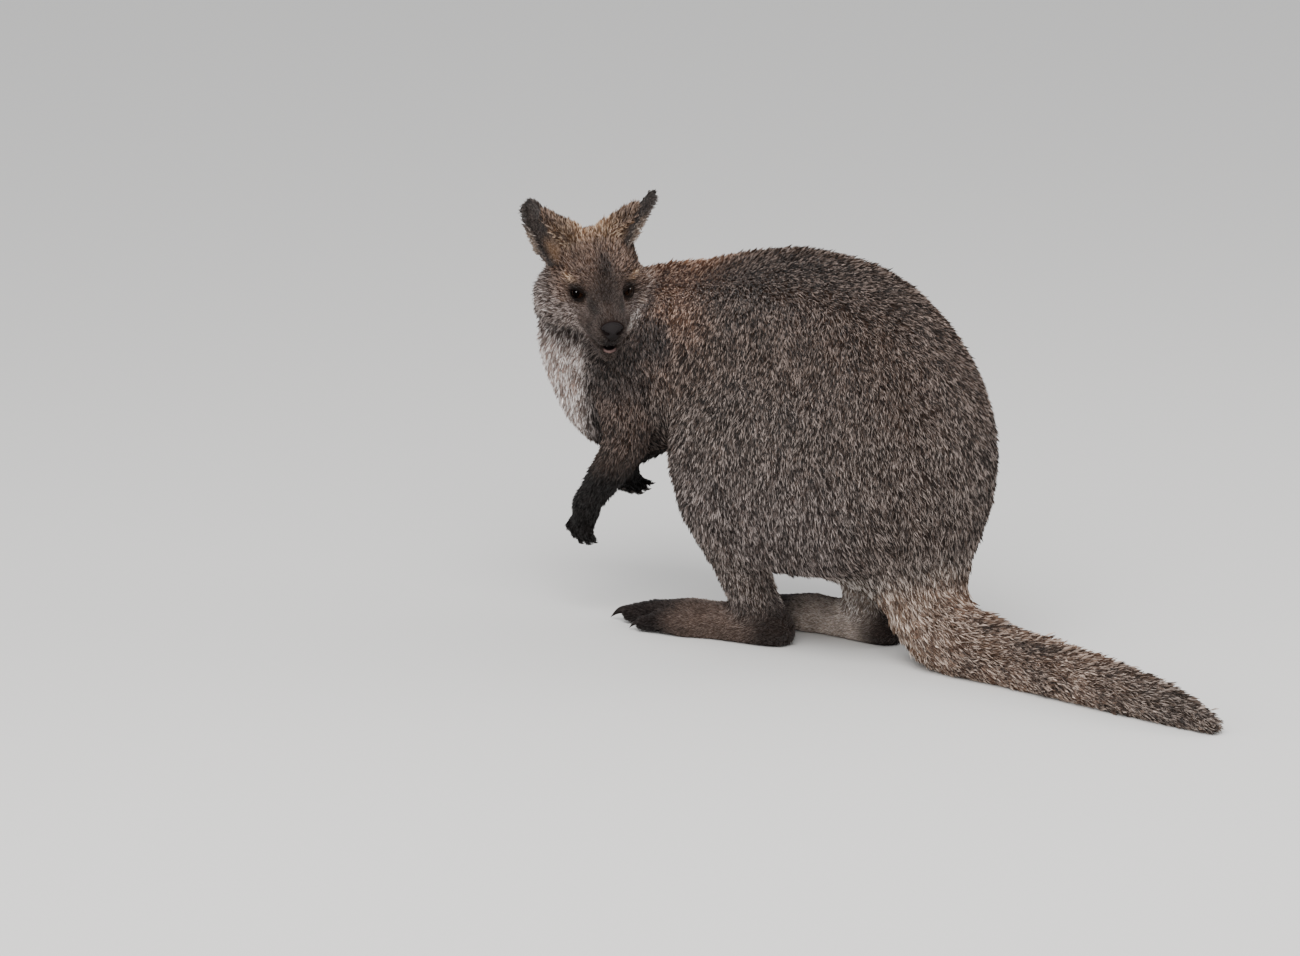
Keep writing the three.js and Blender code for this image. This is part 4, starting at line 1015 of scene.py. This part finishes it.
for side, ear in EARS.items():
    own, (t, s, inner), quads = ear_mesh()
    axes = axes_of(ear["points"], ear["opens"])
    places = own @ axes.T + np.array(ear["root"], float)
    points = in_stance(places)
    normals = vertex_normals(points, quads)
    if (normals @ (HEAD @ axes[:, 2]) * (inner - 0.5)).sum() < 0:
        quads, normals = quads[:, ::-1], -normals
    edge = np.maximum(smooth(0.72, 1.0, np.abs(s)), smooth(0.9, 1.0, t)) * smooth(0.15, 0.35, t)
    colour = layered(
        np.tile(TONES["ear"], (len(points), 1)), ("ear_inside", 0.75 * inner * (1 - edge)),
        ("ear_rim", 0.75 * inner * edge * smooth(0.8, 0.55, t)),
        ("crown", 0.6 * (1 - inner) * smooth(0.55, 0.25, t) * smooth(0.9, 0.4, np.abs(s))))
    ear_object = mesh_object(f"ear_skin_{side}", points, quads, SKIN)
    paint(ear_object, colour * 0.7)
    sideways = np.stack((np.sign(s) * (0.25 + 0.9 * edge) * np.abs(s), np.ones_like(s), 0 * s), 1)
    lie = sideways @ axes.T @ HEAD.T
    lie = unit(lie - normals * (lie * normals).sum(1, keepdims=True))
    is_inner = inner > 0.5
    ear_surface = dict(
        root=points, normal=normals, lie=lie, colour=colour, region=np.zeros(len(points), int),
        length=np.where(is_inner, 5.5, 4.6) + 2.2 * edge, width=0.4 + 0 * s,
        lift=np.where(is_inner, 30, 20) + 22 * edge, agouti=0.6 + 0 * s,
        count=np.where(is_inner, 0.45, 1.0) * (1 + 1.6 * edge),
    )
    sunk = face(places) < -5
    coat_piece(f"coat_ear_{side}", clumps_on(ear_surface, quads, EAR_TUFTS // 2, sunk), "ear")

# ---- eyes, nose and claws


def closed_tube(rings):
    """Points, quads and the fans of triangles at both ends of a tube of rings."""
    rings = np.array(rings)
    count, around = rings.shape[:2]
    points = np.concatenate((rings.reshape(-1, 3), rings[[0, -1]].mean(1)))
    k = np.arange(around)
    after, last = (k + 1) % around, (count - 1) * around
    ends = [np.full(around, count * around + end) for end in (0, 1)]
    fans = np.stack((ends[0], after, k), 1), np.stack((last + k, last + after, ends[1]), 1)
    return points, quads_between(count, around), np.concatenate(fans)


def solid_object(name, bodies, material, nodes):
    """One object from several closed bodies, each its points, quads, triangles and colours."""
    points, triangles, colours, start = [], [], [], 0
    for own, quads, fans, colour in bodies:
        faces = np.concatenate((quads[:, [0, 1, 2]], quads[:, [0, 2, 3]], fans))
        a, b, c = own[faces].transpose(1, 0, 2)
        volume = (a * np.cross(b, c)).sum()
        triangles.append((faces if volume > 0 else faces[:, ::-1]) + start)
        points.append(own)
        colours.append(colour)
        start += len(own)
    made = mesh_object(name, np.concatenate(points), np.concatenate(triangles), material)
    paint(made, np.concatenate(colours))
    if nodes:
        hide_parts(*nodes)


def eyeball(s):
    """Rings about the gaze: pupil, iris and the bulge of the cornea in front, a plain ball behind."""
    axes, centre = eye_axes(s), EYE_AT * side_of(s)
    around = np.linspace(0, 2 * math.pi, 48, endpoint=False)
    rings, shades = [], []
    for angle in np.radians(np.concatenate((np.linspace(1, 50, 26), np.linspace(54, 178, 26)))):
        reach = EYE_RADIUS - 0.25 + 0.9 * smooth(0.84, 0.2, angle)
        ring = np.stack((np.sin(angle) * np.cos(around), np.sin(angle) * np.sin(around),
                         np.full(48, np.cos(angle))), 1) * reach
        rings.append(in_stance(ring @ axes.T + centre))
        iris = tone(58, 36, 22) * 0.3 * smooth(0.42, 0.5, angle) * smooth(0.84, 0.7, angle)
        shades.append(np.tile(TONES["dark"] * 0.12 + iris, (48, 1)))
    return *closed_tube(rings), np.concatenate((*shades, shades[0][:1], shades[-1][:1]))


def lid_rim(s, around=10, steps=96):
    """The bare margin of the lids: a thin tube along the edge of the opening, on the ball."""
    axes, centre = eye_axes(s), EYE_AT * side_of(s)
    half = LID["length"] / 2
    turns = np.linspace(0, 2 * math.pi, steps, endpoint=False)
    x = half * np.cos(turns)
    y = np.where(turns < math.pi, LID["upper"], -LID["lower"]) * (1 - np.cos(turns) ** 2)
    z = np.sqrt(np.maximum((EYE_RADIUS + 0.75) ** 2 - x * x - y * y, 9))
    line = np.stack((x, y, z), 1)
    run = unit(np.roll(line, -1, 0) - np.roll(line, 1, 0))
    out = unit(line)
    flank = np.cross(run, out)
    thick = np.where(turns < math.pi, 1.15, 0.9)[:, None]
    angles = np.linspace(0, 2 * math.pi, around, endpoint=False)
    tube = np.stack([line + (out * math.cos(a) * 0.8 + flank * math.sin(a)) * thick for a in angles], 1)
    points = in_stance(tube.reshape(-1, 3) @ axes.T + centre)
    shade = np.tile(TONES["dark"] * 0.45, (len(points), 1))
    return points, quads_between(steps, around, closed=True), np.zeros((0, 3), int), shade


def claw(axes, origin, root, point, radius, shade):
    """A curved, tapered claw from its root within the toe to its point."""
    root, point = np.array(root, float), np.array(point, float)
    run = unit(point - root)
    flank = unit(np.cross(run, (0, 0, 1)))
    out = np.cross(flank, run)
    long = np.linalg.norm(point - root)
    rings, turns = [], np.linspace(0, 2 * math.pi, 14, endpoint=False)
    for t in np.linspace(-0.15, 1, 14):
        middle = root + run * (long * t) + out * (0.16 * long * math.sin(math.pi * max(t, 0)))
        reach = radius * (1 - max(t, 0) ** 1.5) * 0.92 + 0.12
        rings.append(middle + (flank * np.cos(turns)[:, None] * 0.8 + out * np.sin(turns)[:, None]) * reach)
    points, quads, fans = closed_tube(rings)
    colours = np.tile(shade, (len(points), 1)) * (0.75 + 0.5 * rng.random((len(points), 1)))
    return points @ axes.T + origin, quads, fans, colours


TOES = {  # root, point and radius of each claw of a left hind foot
    "fourth": ((-0.5, -179, 13), (-2, -210, 2), 6.5),
    "fifth": ((24, -149, 10), (27, -170, 2), 4.5),
    "third": ((-14.5, -144, 9), (-14, -160, 3), 3),
    "second": ((-20.5, -143, 9), (-20.5, -158, 3), 3),
}


for side, s in SIDES.items():
    solid_object(f"eyeball_{side}", [eyeball(s)], EYE, [f"eye_{side}"])
    solid_object(f"eyelid_{side}", [lid_rim(s)], LIDS, [])
    mirror = np.diag((s, 1.0, 1.0))
    axes, origin = FEET[side]
    toes = [claw(axes @ mirror, origin, *toe, tone(44, 38, 36)) for toe in TOES.values()]
    solid_object(f"claws_foot_{side}", toes, CLAW, [f"foot_claw_{toe}_{side}" for toe in TOES])
    axes, origin = hand_frames[side]
    fingers = []
    for n in DIGITS:
        _, knuckle, tip = digit(n, math.radians(HANDS[side][3]))
        end = tip - knuckle
        root, point = tip - end * 0.25, tip + end * 0.75 - (0, 0, 4)
        fingers.append(claw(axes, origin, root, point, 2.5, tone(58, 52, 50)))
    solid_object(f"claws_hand_{side}", fingers, CLAW, [f"hand_claw_{k}_{side}" for k in range(1, 6)])


NOSTRILS = [((76, 5, -18), (68, 8.5, -16), 2.6, 2.5), ((70, 9.5, -14.5), (63, 12.5, -13), 1.8, 1.2)]


def nose_pad(q):
    """The bare pad in the head's axes, with its comma-shaped nostrils and the groove below them."""
    d = np.maximum(bare_nose(q), face(q) - 0.25)
    for hollow in NOSTRILS:
        d = carve(1.0, d, bar(*hollow)(np.stack((q[:, 0], np.abs(q[:, 1]), q[:, 2]), 1)))
    return carve(1.2, d, bar((80, 0, -17), (68, 0, -31), 0.9, 0.9)(q))


pad_points, pad_quads = fine_surface(nose_pad, (
    graded(50, (84, 0.8)), graded(-18, (18, 0.8)), graded(-32, (0, 0.8))), rounds=2)
pad_object = mesh_object("nose_pad", in_stance(pad_points), pad_quads, PAD)
# The hollows of the nostrils and of the groove below them are painted near black: painted shade.
shade_in_hollows = smooth(-0.4, -1.5, np.maximum(bare_nose(pad_points), face(pad_points)))
paint(pad_object, np.tile(tone(43, 39, 39), (len(pad_points), 1)) * (1 - 0.92 * shade_in_hollows[:, None]))
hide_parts("nose")

# ---- floor, lights and camera

floor_mesh = bpy.data.meshes.new("floor")
floor_mesh.from_pydata([(x, y, 0) for x, y in ((-6, -6), (6, -6), (6, 6), (-6, 6))], [], [(0, 1, 2, 3)])
floor = bpy.data.objects.new("floor", floor_mesh)
bpy.context.scene.collection.objects.link(floor)
FLOOR, tree, shader = nodes_of("floor")
shader.inputs["Base Color"].default_value = (0.8, 0.78, 0.75, 1)
shader.inputs["Roughness"].default_value = 0.9
floor_mesh.materials.append(FLOOR)
floor.visible_glossy = False

world = bpy.data.worlds.new("studio")
bpy.context.scene.world = world
world.use_nodes = True
world.node_tree.nodes["Background"].inputs["Color"].default_value = (0.92, 0.94, 0.97, 1)
world.node_tree.nodes["Background"].inputs["Strength"].default_value = 0.95
world.cycles_visibility.glossy = False  # the pale studio would cloud the dark eyes


def area_light(name, at, aim, size, power, mirrored_in_eyes=False):
    data = bpy.data.lights.new(name, "AREA")
    data.size, data.energy = size, power
    light = bpy.data.objects.new(name, data)
    light.location = at
    light.visible_glossy = mirrored_in_eyes
    light.rotation_euler = (Vector(aim) - Vector(at)).to_track_quat("-Z", "Y").to_euler()
    bpy.context.scene.collection.objects.link(light)


area_light("key", (1.6, 0.6, 2.8), (0, 0, 0.25), 2.2, 95)
area_light("fill", (2.6, 2.2, 1.4), (0, 0, 0.25), 2.4, 25)
area_light("rim", (-1.42, 1.81, 1.18), (0, 0, 0.3), 1.0, 14, mirrored_in_eyes=True)
area_light("front", (2.44, -1.37, 1.23), (0.08, -0.3, 0.38), 0.6, 6, mirrored_in_eyes=True)

PHOTO_WIDTH, FOCAL_PIXELS = 1300, 5400
CAMERA_AT = np.array((4975.93, 3106.54, 1644.39))
CAMERA_AZIMUTH, CAMERA_ELEVATION = math.radians(123.6), math.radians(14)
camera_data = bpy.data.cameras.new("camera")
camera_data.sensor_width = 36
camera_data.lens = 36 * FOCAL_PIXELS / PHOTO_WIDTH
camera_data.clip_end = 60
camera = bpy.data.objects.new("camera", camera_data)
camera.location = to_row(CAMERA_AT)
toward = Vector((
    -math.sin(CAMERA_AZIMUTH) * math.cos(CAMERA_ELEVATION),
    math.cos(CAMERA_AZIMUTH) * math.cos(CAMERA_ELEVATION),
    -math.sin(CAMERA_ELEVATION),
))
camera.rotation_euler = toward.to_track_quat("-Z", "Y").to_euler()
bpy.context.scene.collection.objects.link(camera)
bpy.context.scene.camera = camera
